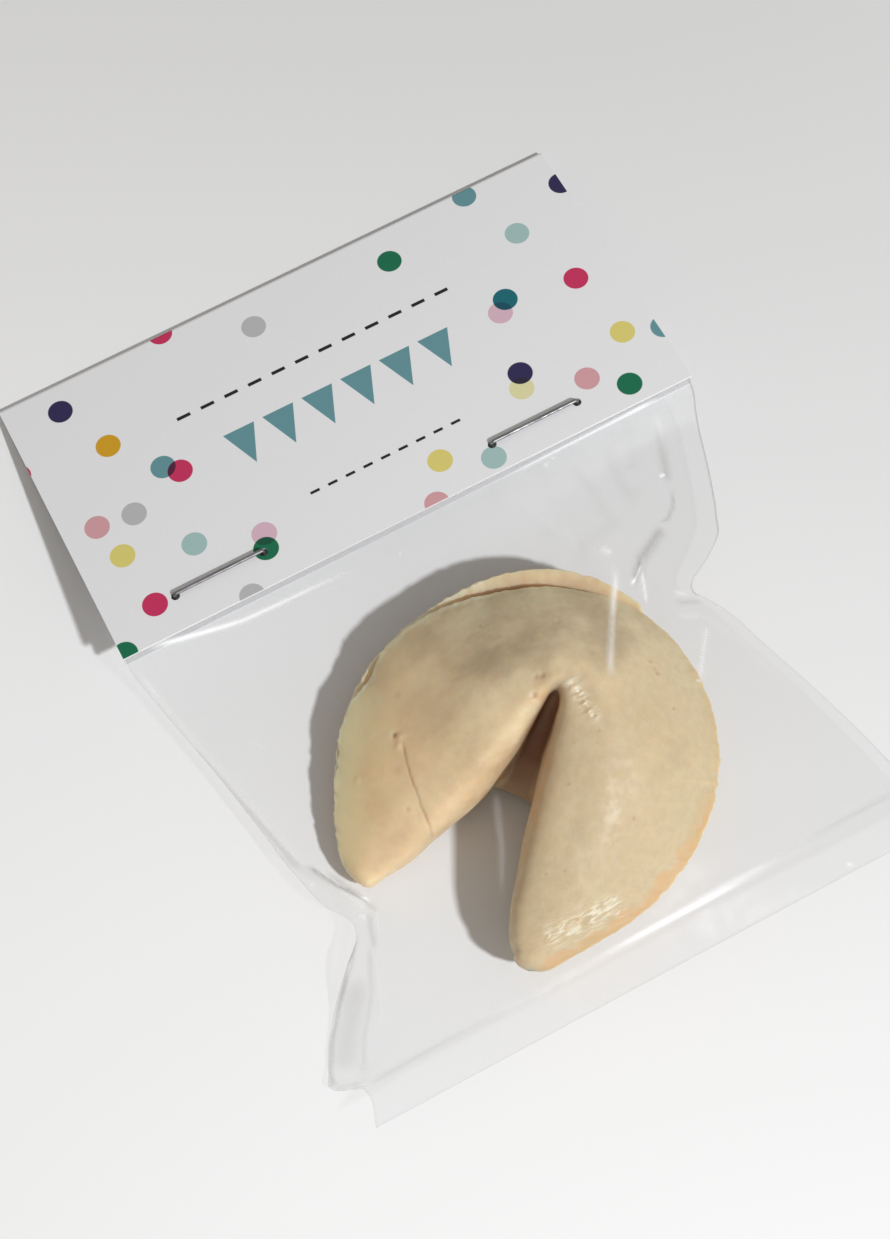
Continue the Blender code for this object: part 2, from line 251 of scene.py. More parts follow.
def make_mottle_group() -> bpy.types.NodeTree:
    """Cloudy tone in two sizes, for crust, paper and film.

    Returns:
        The group, which puts out a broad and a fine tone between 0 and 1.
    """
    group = EffectGroup("mottle", {"Vector": None, "Scale": 100.0, "Fine": 600.0},
                        ["Broad", "Detail"])
    sheet = group.sheet
    broad = sheet.add("TexNoise", {"Vector": group.given["Vector"],
                                   "Scale": group.given["Scale"], "Detail": 3.0,
                                   "Roughness": 0.55})
    fine = sheet.add("TexNoise", {"Vector": group.given["Vector"],
                                  "Scale": group.given["Fine"], "Detail": 4.0,
                                  "Roughness": 0.6})
    group.put_out("Broad", sheet.ramp(broad.outputs[0], 0.32, 0.68))
    group.put_out("Detail", sheet.ramp(fine.outputs[0], 0.3, 0.7))
    return group.tree


def make_grain_group() -> bpy.types.NodeTree:
    """The fine relief of a baked or pressed surface: grain with scattered pits.

    Returns:
        The group, which puts out a height between 0 and 1.
    """
    group = EffectGroup("grain", {"Vector": None, "Scale": 1000.0, "Pits": 0.3}, ["Height"])
    sheet = group.sheet
    grain = sheet.add("TexNoise", {"Vector": group.given["Vector"],
                                   "Scale": group.given["Scale"], "Detail": 5.0,
                                   "Roughness": 0.65})
    wide = sheet.maths("MULTIPLY", group.given["Scale"], 0.55)
    cells = sheet.add("TexVoronoi", {"Vector": group.given["Vector"], "Scale": wide})
    pits = sheet.maths("MULTIPLY", sheet.ramp(cells.outputs["Distance"], 0.22, 0.0),
                       group.given["Pits"])
    group.put_out("Height", sheet.maths("SUBTRACT", grain.outputs[0], pits))
    return group.tree


SPOT = make_spot_group()
MOTTLE = make_mottle_group()
GRAIN = make_grain_group()


def new_material(name: str) -> tuple[bpy.types.Material, NodeSheet, bpy.types.Node]:
    """Makes a material.

    Args:
        name: The material's name.

    Returns:
        The material, its nodes and its Principled shader.
    """
    material = bpy.data.materials.new(name)
    material.use_nodes = True
    shader = material.node_tree.nodes["Principled BSDF"]
    return material, NodeSheet(material.node_tree), shader


# ------------------------------------------------------------------ finishes

@dataclass(frozen=True)
class CrustFinish:
    """Baked wafer: pale, cloudy, toasted at its rim, with brown specks and painted light, shade and
    highlight.
    """

    pale: Colour = (0.790, 0.648, 0.430)
    straw: Colour = (0.586, 0.472, 0.304)
    toasted: Colour = (0.660, 0.420, 0.225)
    crumb: Colour = (0.840, 0.690, 0.480)
    # painted light: a bright tan laid on the left horn's outer half, which the lamp leaves too dark
    painted_light: Colour = (0.985, 0.690, 0.410)
    # real brown specks, and painted shade deep in the slit, in the dents and in the crack
    speck_and_shade_brown: Colour = (0.480, 0.290, 0.160)
    # painted shade: dark brown on the shaded inner end of the notch
    painted_notch_shade: Colour = (0.250, 0.110, 0.052)
    # painted highlight: pale tan laid on the wrinkles of the glossy patch
    painted_highlight: Colour = (0.940, 0.860, 0.730)
    roughness: float = 0.5
    gloss: float = 0.3
    sheen: float = 0.32
    glow: float = 0.75
    glow_depth: Colour = (3.0 * MM, 1.7 * MM, 0.9 * MM)
    specks: tuple[tuple[float, float, float], ...] = (
        (0.1, -5.2, 0.16), (15.8, -19.1, 0.22), (15.8, -20.8, 0.25), (15.5, -25.4, 0.22),
        (-0.5, -28.1, 0.2), (4.6, -34.9, 0.2), (-7.5, -35.8, 0.16), (-5.4, -36.5, 0.16),
        (5.6, -24.4, 0.14), (-15.2, -12.0, 0.24), (2.3, -24.2, 0.12))

    def material(self) -> bpy.types.Material:
        """Builds the material, which reads the cookie's attributes."""
        material, sheet, shader = new_material("baked_crust")
        place = sheet.objects()
        cloud = sheet.group(MOTTLE, {"Vector": place, "Scale": 130.0, "Fine": 900.0})
        # random cloudy tone, and painted shade that darkens the lamp-facing right horn towards
        # straw
        mottle_and_lit_side_shade = sheet.maths("MAXIMUM", cloud.outputs["Broad"], sheet.attribute("painted_lit_side_shade"))
        tone = sheet.blend(mottle_and_lit_side_shade, self.pale, self.straw)
        faint = sheet.maths("MULTIPLY", cloud.outputs["Detail"], 0.16)
        tone = sheet.blend(faint, tone, self.straw, "MULTIPLY")
        # painted light: brightens the left horn's outer half
        tone = sheet.blend(sheet.attribute("painted_light"), tone, self.painted_light)
        toast = sheet.attribute("toast")
        patchy = sheet.maths("MULTIPLY_ADD", cloud.outputs["Detail"], 0.5, 0.75)
        toast = sheet.maths("MULTIPLY", toast, patchy, clamped=True)
        tone = sheet.blend(toast, tone, self.toasted)
        # crumb is the real pale worn rim; the slit's depth and the notch's inner end get painted
        # shade
        for key, colour in (("crumb", self.crumb), ("deep", self.speck_and_shade_brown), ("painted_notch_shade", self.painted_notch_shade)):
            tone = sheet.blend(sheet.attribute(key), tone, colour)
        for x, y, radius in self.specks:
            speck = sheet.group(SPOT, {"Vector": place, "Centre": (x * MM, y * MM, 0.0),
                                       "Radius": radius * MM, "Softness": 0.25 * MM})
            tone = sheet.blend(sheet.maths("MULTIPLY", speck.outputs[0], 0.55), tone, self.speck_and_shade_brown)
        relief = sheet.group(GRAIN, {"Vector": place, "Scale": 1100.0, "Pits": 0.5})
        gloss = sheet.attribute("gloss")
        creased = sheet.add("Mapping", {"Vector": place, "Rotation": (0.0, 0.0, radians(-38)),
                                        "Scale": (0.35, 1.3, 1.0)}).outputs[0]
        wrinkles = sheet.add("TexNoise", {"Vector": creased, "Scale": 1800.0, "Detail": 3.0,
                                          "Distortion": 0.6}).outputs[0]
        # painted highlight on the glossy patch's wrinkles; the gloss also lowers roughness and adds
        # wrinkle bumps
        painted_highlight_mask = sheet.maths("MULTIPLY", sheet.ramp(wrinkles, 0.44, 0.66), gloss)
        tone = sheet.blend(sheet.maths("MULTIPLY", painted_highlight_mask, 0.7), tone, self.painted_highlight)
        wrinkles = sheet.maths("MULTIPLY", sheet.maths("MULTIPLY", wrinkles, gloss), 7.0)
        bump = sheet.add("Bump", {"Height": sheet.maths("ADD", relief.outputs[0], wrinkles),
                                  "Distance": 0.07 * MM, "Strength": 0.5})
        rough = sheet.ramp(cloud.outputs["Detail"], 0.0, 1.0,
                           (self.roughness - 0.06, self.roughness + 0.1))
        rough = sheet.maths("SUBTRACT", rough, sheet.maths("MULTIPLY", gloss, self.gloss))
        sheet.feed(shader, {"Base Color": tone, "Roughness": rough, "Normal": bump.outputs[0],
                            "Specular IOR Level": self.sheen})
        shader.inputs["Subsurface Weight"].default_value = self.glow
        shader.inputs["Subsurface Radius"].default_value = self.glow_depth
        shader.inputs["Subsurface Scale"].default_value = 1.0
        return material


@dataclass(frozen=True)
class FilmFinish:
    """Thin clear film: almost see-through, mirroring the light, with painted highlights and painted
    shade on its folds and edges.
    """

    mirror: float = 0.0008
    grazing: float = 0.45
    grazing_power: float = 4.0
    roughness: float = 0.22
    folded_roughness: float = 0.45
    tint: Colour = (0.968, 0.968, 0.968)
    shade: float = 0.15
    # tone of the painted shade on folds and edges
    shade_tone: Colour = (0.62, 0.62, 0.61)

    def material(self) -> bpy.types.Material:
        """Builds the material, which reads the painted highlight and painted shade attributes."""
        material, sheet, shader = new_material("clear_film")
        place = sheet.objects()
        facing = sheet.add("LayerWeight", {"Blend": 0.5}).outputs["Facing"]
        slant = sheet.maths("POWER", facing, self.grazing_power)
        share = sheet.maths("MULTIPLY_ADD", slant, self.grazing, self.mirror)
        # painted highlights and painted shade laid on the film's folds, edges and spots
        white = sheet.attribute("white")
        painted_film_shade = sheet.attribute("painted_film_shade")
        share = sheet.maths("ADD", share, sheet.maths("ADD", white, painted_film_shade), clamped=True)
        shaded = sheet.add("LightPath").outputs["Is Shadow Ray"]
        seen = sheet.maths("SUBTRACT", 1.0, sheet.maths("MULTIPLY", shaded, 1.0 - self.shade))
        share = sheet.maths("MULTIPLY", share, seen)
        see = sheet.add("BsdfTransparent", {"Color": (*self.tint, 1.0)})
        shown = sheet.add("MixShader", {0: share, 1: see.outputs[0], 2: shader.outputs[0]})
        # the painted shade darkens the film's tone, the painted highlight turns it white and matt
        dark = sheet.maths("DIVIDE", painted_film_shade, sheet.maths("ADD", share, 0.0001), clamped=True)
        pale = sheet.maths("DIVIDE", white, sheet.maths("ADD", share, 0.0001), clamped=True)
        tone = sheet.blend(dark, (0.97, 0.97, 0.97), self.shade_tone)
        rough = sheet.ramp(sheet.maths("MAXIMUM", pale, dark), 0.1, 0.7,
                           (self.roughness, self.folded_roughness))
        cloud = sheet.group(MOTTLE, {"Vector": place, "Scale": 90.0, "Fine": 420.0})
        height = sheet.maths("ADD", cloud.outputs["Broad"],
                             sheet.maths("MULTIPLY", cloud.outputs["Detail"], 0.1))
        bump = sheet.add("Bump", {"Height": height, "Distance": 0.12 * MM, "Strength": 0.25})
        sheet.feed(shader, {"Base Color": tone, "Roughness": rough, "Normal": bump.outputs[0],
                            "Metallic": sheet.ramp(pale, 0.3, 0.8, (1.0, 0.0))})
        sheet.feed(sheet.tree.nodes["Material Output"], {"Surface": shown.outputs[0]})
        return material


class Ink(Enum):
    """The card's printing inks, as linear colours."""

    NAVY = (0.026, 0.020, 0.084)
    PALE_TEAL = (0.352, 0.515, 0.497)
    CRIMSON = (0.552, 0.028, 0.107)
    YELLOW = (0.694, 0.604, 0.174)
    GREEN = (0.005, 0.150, 0.069)
    ROSE = (0.631, 0.333, 0.356)
    MUSTARD = (0.631, 0.337, 0.013)
    GREY = (0.473, 0.473, 0.485)
    TEAL = (0.122, 0.287, 0.319)
    DEEP_TEAL = (0.006, 0.136, 0.170)
    BLUSH = (0.658, 0.445, 0.527)
    CREAM = (0.716, 0.679, 0.376)
    BLACK = (0.012, 0.012, 0.014)


@dataclass(frozen=True)
class Dot:
    """One printed dot: its place on the card from the card's middle, in mm."""

    x: float
    y: float
    ink: Ink


@dataclass(frozen=True)
class ShapeRow:
    """A row of like shapes printed across the card, in mm from the card's middle.

    A taper of 1 narrows each shape to a point at its foot, and 0 leaves it square.
    """

    middle: float
    y: float
    count: int
    pitch: float
    width: float
    height: float
    taper: float
    ink: Ink


@dataclass(frozen=True)
class CardFinish:
    """Smooth white card, printed on its front with round dots and rows of shapes."""

    front_edge: Vector
    tilt: float
    white: Colour = (0.800, 0.800, 0.812)
    roughness: float = 0.5
    sheen: float = 0.35
    dot_radius: float = 1.63
    flap: float = 40.2
    dots: tuple[Dot, ...] = (
        Dot(31.1, 10.3, Ink.PALE_TEAL), Dot(34.4, 0.2, Ink.CRIMSON), Dot(-5.5, 15.0, Ink.GREY),
        Dot(35.6, -10.0, Ink.YELLOW), Dot(28.3, -13.8, Ink.ROSE), Dot(32.6, -17.2, Ink.GREEN),
        Dot(-32.9, 16.1, Ink.NAVY), Dot(-29.5, 8.3, Ink.MUSTARD), Dot(6.5, -15.0, Ink.YELLOW),
        Dot(-30.6, -2.4, Ink.GREY), Dot(-35.5, -1.8, Ink.ROSE), Dot(-25.7, -10.1, Ink.PALE_TEAL),
        Dot(-34.3, -7.1, Ink.YELLOW), Dot(-33.5, -15.3, Ink.CRIMSON), Dot(14.5, 15.0, Ink.GREEN),
        Dot(27.8, 19.1, Ink.TEAL), Dot(39.9, 14.4, Ink.NAVY), Dot(23.4, 0.5, Ink.BLUSH),
        Dot(24.9, 2.0, Ink.DEEP_TEAL), Dot(20.4, -10.9, Ink.CREAM), Dot(21.3, -8.8, Ink.NAVY),
        Dot(12.6, -18.0, Ink.PALE_TEAL), Dot(3.4, -20.2, Ink.ROSE), Dot(-22.9, 0.3, Ink.CRIMSON),
        Dot(-24.6, 1.9, Ink.TEAL), Dot(-16.7, 20.3, Ink.CRIMSON), Dot(-41.4, 10.0, Ink.CRIMSON),
        Dot(-17.4, -13.2, Ink.BLUSH), Dot(-18.1, -15.2, Ink.GREEN), Dot(-22.4, -20.2, Ink.GREY),
        Dot(-39.5, -19.6, Ink.GREEN), Dot(40.5, -11.9, Ink.TEAL))
    rows: tuple[ShapeRow, ...] = (
        ShapeRow(-0.5, 7.3, 12, 3.4, 1.9, 0.5, 0.0, Ink.BLACK),
        ShapeRow(0.2, -0.7, 6, 5.6, 4.4, 5.6, 1.0, Ink.TEAL),
        ShapeRow(0.8, -11.0, 9, 2.5, 1.3, 0.4, 0.0, Ink.BLACK))

    def shape_mask(self, sheet: NodeSheet, x: Any, y: Any, row: ShapeRow) -> Any:
        """Builds the mask of one row of shapes.

        Args:
            sheet: The material's nodes.
            x: The place along the card, in mm.
            y: The place up the card, in mm.
            row: The row of shapes.

        Returns:
            The output that holds the mask.
        """
        half_run = row.count * row.pitch / 2
        along = sheet.maths("SUBTRACT", x, row.middle)
        repeat = sheet.maths("ADD", along, half_run)
        repeat = sheet.maths("MODULO", repeat, row.pitch)
        repeat = sheet.maths("ABSOLUTE", sheet.maths("SUBTRACT", repeat, row.pitch / 2))
        up = sheet.maths("SUBTRACT", y, row.y)
        narrowing = sheet.maths("MULTIPLY", sheet.maths("SUBTRACT", up, row.height / 2),
                                row.taper * row.width / (2 * row.height))
        half_width = sheet.maths("ADD", narrowing, row.width / 2)
        wide = sheet.ramp(sheet.maths("SUBTRACT", half_width, repeat), -0.04, 0.04)
        tall = sheet.ramp(sheet.maths("SUBTRACT", row.height / 2, sheet.maths("ABSOLUTE", up)),
                          -0.04, 0.04)
        within = sheet.maths("LESS_THAN", sheet.maths("ABSOLUTE", along), half_run)
        return sheet.maths("MULTIPLY", sheet.maths("MULTIPLY", wide, tall), within)

    def material(self) -> bpy.types.Material:
        """Builds the material, printed where a face looks out of the front flap."""
        material, sheet, shader = new_material("printed_card")
        centre = sheet.add("Mapping", {"Vector": sheet.objects(), "Location": self.front_edge,
                                       "Rotation": (self.tilt, 0.0, 0.0)},
                           vector_type="TEXTURE").outputs[0]
        on_card = sheet.add("VectorMath", {0: centre, 1: (1 / MM, 1 / MM, 1 / MM)},
                            operation="MULTIPLY").outputs[0]
        parts = sheet.add("SeparateXYZ", {0: on_card}).outputs
        up = sheet.maths("ADD", parts[1], self.flap / 2)
        place = sheet.add("CombineXYZ", {0: parts[0], 1: up}).outputs[0]
        front = sheet.maths("GREATER_THAN", parts[2], -0.12)
        tone = sheet.add("RGB").outputs[0]
        tone.default_value = (*self.white, 1.0)
        for dot in self.dots:
            spot = sheet.group(SPOT, {"Vector": place, "Centre": (dot.x, dot.y, 0.0),
                                      "Radius": self.dot_radius, "Softness": 0.07})
            share = sheet.maths("MULTIPLY", spot.outputs[0], front)
            over = tuple(channel / paper for channel, paper in zip(dot.ink.value, self.white))
            tone = sheet.blend(share, tone, over, "MULTIPLY")
        for row in self.rows:
            share = sheet.maths("MULTIPLY", self.shape_mask(sheet, parts[0], up, row), front)
            tone = sheet.blend(share, tone, row.ink.value)
        cloud = sheet.group(MOTTLE, {"Vector": sheet.objects(), "Scale": 60.0, "Fine": 2500.0})
        faint = sheet.maths("MULTIPLY", cloud.outputs["Detail"], 0.05)
        tone = sheet.blend(faint, tone, (0.7, 0.7, 0.72), "MULTIPLY")
        fibre = sheet.group(GRAIN, {"Vector": sheet.objects(), "Scale": 3500.0, "Pits": 0.0})
        bump = sheet.add("Bump", {"Height": fibre.outputs[0], "Distance": 0.01 * MM,
                                  "Strength": 0.4})
        sheet.feed(shader, {"Base Color": tone, "Normal": bump.outputs[0],
                            "Roughness": self.roughness, "Specular IOR Level": self.sheen})
        return material


@dataclass(frozen=True)
class WireFinish:
    """Bright plated wire with faint marks from drawing and closing."""

    steel: Colour = (0.36, 0.36, 0.37)
    dull: Colour = (0.22, 0.22, 0.23)
    roughness: float = 0.46

    def material(self) -> bpy.types.Material:
        """Builds the material, with scratches that run along the staple's crown."""
        material, sheet, shader = new_material("staple_wire")
        stretched = sheet.add("Mapping", {"Vector": sheet.objects(), "Scale": (0.1, 1.0, 1.0)})
        marks = sheet.group(MOTTLE, {"Vector": stretched.outputs[0], "Scale": 2500.0,
                                     "Fine": 9000.0})
        tone = sheet.blend(marks.outputs["Broad"], self.steel, self.dull)
        rough = sheet.ramp(marks.outputs["Detail"], 0.0, 1.0,
                           (self.roughness - 0.08, self.roughness + 0.14))
        bump = sheet.add("Bump", {"Height": marks.outputs["Detail"], "Distance": 0.01 * MM,
                                  "Strength": 0.5})
        sheet.feed(shader, {"Base Color": tone, "Roughness": rough, "Normal": bump.outputs[0],
                            "Metallic": 1.0})
        return material


@dataclass(frozen=True)
class FloorFinish:
    """A plain pale floor with painted light: it grows a little lighter towards one side."""

    tone: Colour = (0.69, 0.69, 0.69)
    light_tone: Colour = (0.90, 0.90, 0.90)
    lighter_way: tuple[float, float, float] = (-1.207, -0.302, 0.0)
    reach: float = 0.13
    roughness: float = 0.6
    sheen: float = 0.2

    def material(self) -> bpy.types.Material:
        """Builds the material."""
        material, sheet, shader = new_material("pale_floor")
        along = sheet.add("VectorMath", {0: sheet.objects(), 1: self.lighter_way},
                          operation="DOT_PRODUCT").outputs["Value"]
        # painted light: the floor lightens along one way, standing in for the lamp's falloff
        tone = sheet.blend(sheet.ramp(along, -self.reach, self.reach), self.tone, self.light_tone)
        sheet.feed(shader, {"Base Color": tone, "Roughness": self.roughness,
                            "Specular IOR Level": self.sheen})
        return material


# ------------------------------------------------------------------ pieces

def finish_piece(bm: bmesh.types.BMesh, name: str, surface: bpy.types.Material,
                 stands_for: Sequence[str]) -> bpy.types.Object:
    """Makes a finished piece of a bmesh and puts it in the frame.

    Args:
        bm: The mesh in the frame's own coordinates, which is freed.
        name: The piece's name.
        surface: Its material.
        stands_for: The nodes that it replaces.

    Returns:
        The piece.
    """
    mesh = bpy.data.meshes.new(name)
    bm.to_mesh(mesh)
    bm.free()
    mesh.shade_smooth()
    mesh.materials.append(surface)
    piece = bpy.data.objects.new(name, mesh)
    bpy.context.scene.collection.objects.link(piece)
    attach(piece, BODY)
    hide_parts(*stands_for)
    return piece


class Face(Enum):
    """The stretches of a cut through the cookie, in their order round it."""

    UPPER_OUT = 0
    UPPER_EDGE = 1
    UPPER_IN = 2
    LOWER_IN = 3
    LOWER_EDGE = 4
    LOWER_OUT = 5


@dataclass(frozen=True)
class Horn:
    """What differs between the cookie's two horns, in mm and radians."""

    tip_angle: float
    tip_taper: float
    leg: tuple[Place, Place]
    tip_height: float
    descent: float
    rim_height: float
    tip_base: float
    sag: float
    ridge_rounding: float
    dip: float
    ridge_at: float
    tip_length: float


@dataclass(frozen=True)
class Pit:
    """A dent, or a blister if its depth is negative: place, radius and depth in mm."""

    x: float
    y: float
    radius: float
    depth: float


@dataclass(frozen=True)
class Crack:
    """A crack in the upper layer: the points that it runs through, in mm from above."""

    route: tuple[Place, ...]
    width: float
    depth: float
    step: float


@dataclass
class Cookie:
    """A round wafer folded over and bent, with its two layers a slit apart at the rim.

    Lengths are in mm.  A place on it has s, from -1 at the left tip over the far side to 1
    at the right tip, and t, from 0 at the crease to 1 at the rim.
    """

    rim_centre: Place = (-1.7, -21.2)
    rim_radius: float = 22.7
    rim_tuck: float = 2.2
    rim_tuck_at: float = -0.24
    rim_tuck_spread: float = 0.27
    lip: float = 2.7
    lip_at: float = -0.15
    lip_spread: float = 0.23
    lip_end: float = 0.06
    lip_step: float = 0.03
    nicks: tuple[tuple[float, float, float], ...] = (
        (1.6, -0.59, 0.045), (0.45, -0.785, 0.012), (0.3, -0.765, 0.008))
    wear: tuple[tuple[float, float, float], ...] = (
        (0.24, 0.045, 3.0), (0.22, 0.014, 9.0), (0.14, 0.006, 5.0))
    waves: tuple[tuple[float, float], ...] = (
        (0.24, 10.0), (0.10, 4.2), (0.035, 1.7), (0.014, 0.75))
    tip_reach: float = 3.7
    notch_apex: Place = (3.0, -17.3)
    notch_blunt: Place = (0.3, -0.38)
    notch_end: float = 0.12
    crease_shift: tuple[tuple[float, float, float], ...] = (
        (-1.0, -0.2, 0.4), (-0.96, 0.0, 0.8), (-0.9, 0.0, 1.5), (-0.85, 0.0, 1.7),
        (-0.75, 0.2, 1.9),
        (-0.65, 0.15, 1.3), (-0.55, 0.0, 0.5), (-0.48, 0.0, 0.2), (-0.4, 0.6, 0.0),
        (-0.3, 0.7, 0.0), (-0.2, 0.65, 0.0), (-0.1, 0.65, 0.0), (0.0, 0.75, -0.1),
        (0.1, 0.9, -0.1), (0.2, 1.2, 0.0), (0.3, 1.0, 0.0), (0.4, 0.8, 0.0),
        (0.55, 0.85, 0.0), (0.7, 0.7, 0.0), (0.8, 0.3, 0.0),
        (0.9, 0.3, 0.0), (0.96, 0.7, 0.1), (1.0, 1.2, 0.0))
    crust: float = 1.9
    upper_rim_crust: float = 0.75
    lower_rim_crust: float = 1.25
    rim_thinning: float = 3.0
    fold_wall: float = 1.1
    narrow_fold_wall: float = 0.55
    slit: float = 0.15
    edge_roundness: float = 0.3
    ridge_height: float = 18.2
    rim_height: float = 8.3
    rim_taper: float = 1.5
    base_height: float = 0.65
    base_taper: float = 6.0
    crease_share: float = 0.42
    ridge_at_notch: float = 0.20
    horn_from: float = 0.5
    dip_at: float = 0.8
    dip_spread: float = 0.22
    middle_sag: float = 0.1
    sag_from: float = 0.45
    ridge_rounding: float = 0.12
    belly_at: float = 0.45
    belly_sag: float = -0.8
    fold_fullness: float = 3.8
    notch_fullness: float = 7.0
    notch_reach: float = 0.35
    slope_step: float = 0.01
    steepest_wall: float = 2.4
    notch_way: Place = (-0.813, -0.582)
    web: float = 13.5
    web_height: float = 14.0
    # painted shade on the notch's inner end: its reach along the notch, fades and height limits
    notch_shade_length: float = 13.0
    notch_shade_from: float = 0.26
    notch_shade_fade: float = 0.16
    notch_shade_foot: float = 0.5
    notch_shade_rise: float = 8.0
    notch_shade_end: float = 0.56
    notch_shade_end_fade: float = 0.26
    notch_shade_top: float = 1.4
    notch_shade_top_fade: float = 2.8
    tip_cut: float = 0.975
    tip_rounding: float = 0.02
    gloss_routes: tuple[tuple[Place, Place, float], ...] = (
        ((-10.2, -42.2), (-1.8, -42.4), 1.3), ((5.2, -17.8), (5.8, -22.4), 0.8))
    apex_crease: tuple[Place, Place] = ((0.4, -17.3), (2.6, -17.5))
    sections: int = 420
    counts: dict[Face, int] = field(default_factory=lambda: {
        Face.UPPER_OUT: 104, Face.UPPER_EDGE: 6, Face.UPPER_IN: 14,
        Face.LOWER_IN: 14, Face.LOWER_EDGE: 6, Face.LOWER_OUT: 58})
    crowding: dict[Face, float] = field(default_factory=lambda: {
        Face.UPPER_OUT: 1.35, Face.LOWER_OUT: 1.35, Face.UPPER_IN: 1.4, Face.LOWER_IN: 1.4})
    left: Horn = Horn(radians(186.5), 6, ((-18.5, -30.4), (-27.2, -26.1)), 4.9, 1.9, 2.5, 1.3,
                       0.12, 0.5, 1.7, 0.24, 0.25)
    right: Horn = Horn(radians(-116.0), 10, ((-15.6, -37.0), (-15.2, -42.6)), 8.4, 2.3, 5.3, 3.2,
                       -0.1, 0.7, 0.6, 0.3, 1.35)
    crack: Crack = Crack(((-14.5, -13.0), (-15.2, -14.6), (-15.9, -18.1), (-16.4, -21.1),
                          (-16.5, -23.4), (-16.5, -24.8), (-17.0, -26.0)), 0.14, 0.17, 0.10)
    pits: tuple[Pit, ...] = (
        Pit(-15.2, -12.0, 0.32, 0.26), Pit(-15.4, -13.5, 0.4, -0.24), Pit(-14.7, -12.6, 0.5, -0.18),
        Pit(-12.6, -7.6, 0.4, 0.07), Pit(2.8, -15.4, 0.35, 0.2), Pit(2.1, -15.2, 0.3, 0.16),
        Pit(0.9, -17.0, 0.35, 0.25), Pit(5.5, -18.5, 0.35, -0.16), Pit(5.7, -20.9, 0.4, -0.2),
        Pit(5.6, -21.8, 0.3, -0.16), Pit(-21.6, -14.2, 0.3, -0.14), Pit(15.8, -20.0, 0.3, 0.12),
        Pit(-17.9, -20.6, 0.25, 0.12), Pit(-16.8, -16.0, 0.5, 0.05), Pit(8.3, -9.7, 0.3, 0.1))

    def horn(self, s: float) -> Horn:
        """Returns the horn that s is on."""
        return self.left if s < 0 else self.right

    def angle(self, s: float) -> float:
        """Returns the direction of the rim at s from the rim's centre."""
        middle = (self.left.tip_angle + self.right.tip_angle) / 2
        return middle - (self.left.tip_angle - self.right.tip_angle) / 2 * s

    def rim_point(self, s: float) -> Vector:
        """Returns the upper layer's rim at s, from above."""
        radius = (self.rim_radius
                  - self.rim_tuck * bell(s, self.rim_tuck_at, self.rim_tuck_spread)
                  + self.tip_reach * abs(s) ** self.horn(s).tip_taper)
        angle = self.angle(s)
        return Vector(self.rim_centre) + radius * Vector((cos(angle), sin(angle)))

    def crease_point(self, s: float) -> Vector:
        """Returns the folded edge at s, from above."""
        belly, tip = (Vector(place) for place in self.horn(s).leg)
        turn = max(-1.0, min(1.0, s / self.notch_end))
        corner = Vector(self.notch_apex) + Vector(self.notch_blunt) * turn
        share = s * s
        places, *shifts = zip(*self.crease_shift)
        shift = Vector([float(np.interp(s, places, values)) for values in shifts])
        return (corner * (1 - share) ** 2 + belly * 2 * share * (1 - share)
                + tip * share ** 2 + shift)

    @staticmethod
    def hump(t: float, peak: float, sag: float, rounding: float, fullness: float) -> float:
        """Returns 0 at the crease, where it stands upright, 1 at peak and 0 at the rim."""
        if t < peak:
            return (1.0 - (1.0 - t / peak) ** fullness) ** (1 / fullness)
        past = (t - peak) / (1.0 - peak)
        past = ((sqrt(past ** 2 + rounding ** 2) - rounding)
                / (sqrt(1.0 + rounding ** 2) - rounding))
        return (1.0 - past) * (1.0 - sag * past)

    def raggedness(self, s: float, layer: int) -> float:
        """Returns how far the worn rim of a layer stands out at s, in mm."""
        rough = sum(height * wander(s, size, seed + layer) for height, size, seed in self.wear)
        worn = mix(0.45, 1.0, smooth_step((abs(s + 0.1) - 0.35) / 0.3))
        if layer == 0:
            rough -= sum(depth * bell(s, middle, spread) for depth, middle, spread in self.nicks)
        return rough * worn

    def toast(self, s: float, t: float, face: Face, place: Vector, width: float) -> float:
        """Works out how toasted the wafer is.

        Args:
            s: The place along the rim.
            t: The place from the crease to the rim.
            face: The stretch of the cut.
            place: The point itself, in mm.
            width: The distance from crease to rim, in mm.

        Returns:
            A number from 0, pale, to 1, toasted.
        """
        inward = (1.0 - t) * width
        ragged = 1.0 + 0.5 * noise.noise(place / 2.4) + 0.3 * noise.noise(place / 0.9)
        right_rim = smooth_step((s - 0.42) / 0.25) * (1.0 - 0.4 * smooth_step((s - 0.95) / 0.05))
        value = 0.95 * right_rim * exp(-(inward / (1.45 * ragged)) ** 4)
        value += 0.3 * smooth_step((s - 0.1) / 0.2) * exp(-(inward / (0.5 * ragged)) ** 2)
        value += 0.12 * exp(-(inward / 0.8) ** 2)
        if face in (Face.LOWER_IN, Face.LOWER_EDGE):
            value += 0.28 * exp(-(inward / 3.0) ** 2) * smooth_step((0.3 - s) / 0.3)
        if face is Face.LOWER_OUT:
            value += 0.3 * exp(-(inward / 4.0) ** 2)
        at_crease = t * width
        right_leg = bell(s, 0.5, 0.16) * exp(-(at_crease / 1.6) ** 2)
        left_leg = bell(s, -0.52, 0.13) * exp(-(at_crease / 1.3) ** 2)
        value += 0.6 * right_leg * ragged + 0.4 * left_leg * ragged
        off, along = from_line(place, *(Vector((*end, 0.0)) for end in self.apex_crease))
        value += 0.9 * bell(off, 0.0, 0.45) * bell(along, 0.6, 0.45)
        value += 0.3 * bell((place - Vector((-22.3, -17.3, 8.5))).length, 0.0, 2.6)
        value += 0.2 * bell((place - Vector((-20.4, -13.6, 8.5))).length, 0.0, 2.8)
        return clamp(value * ragged)

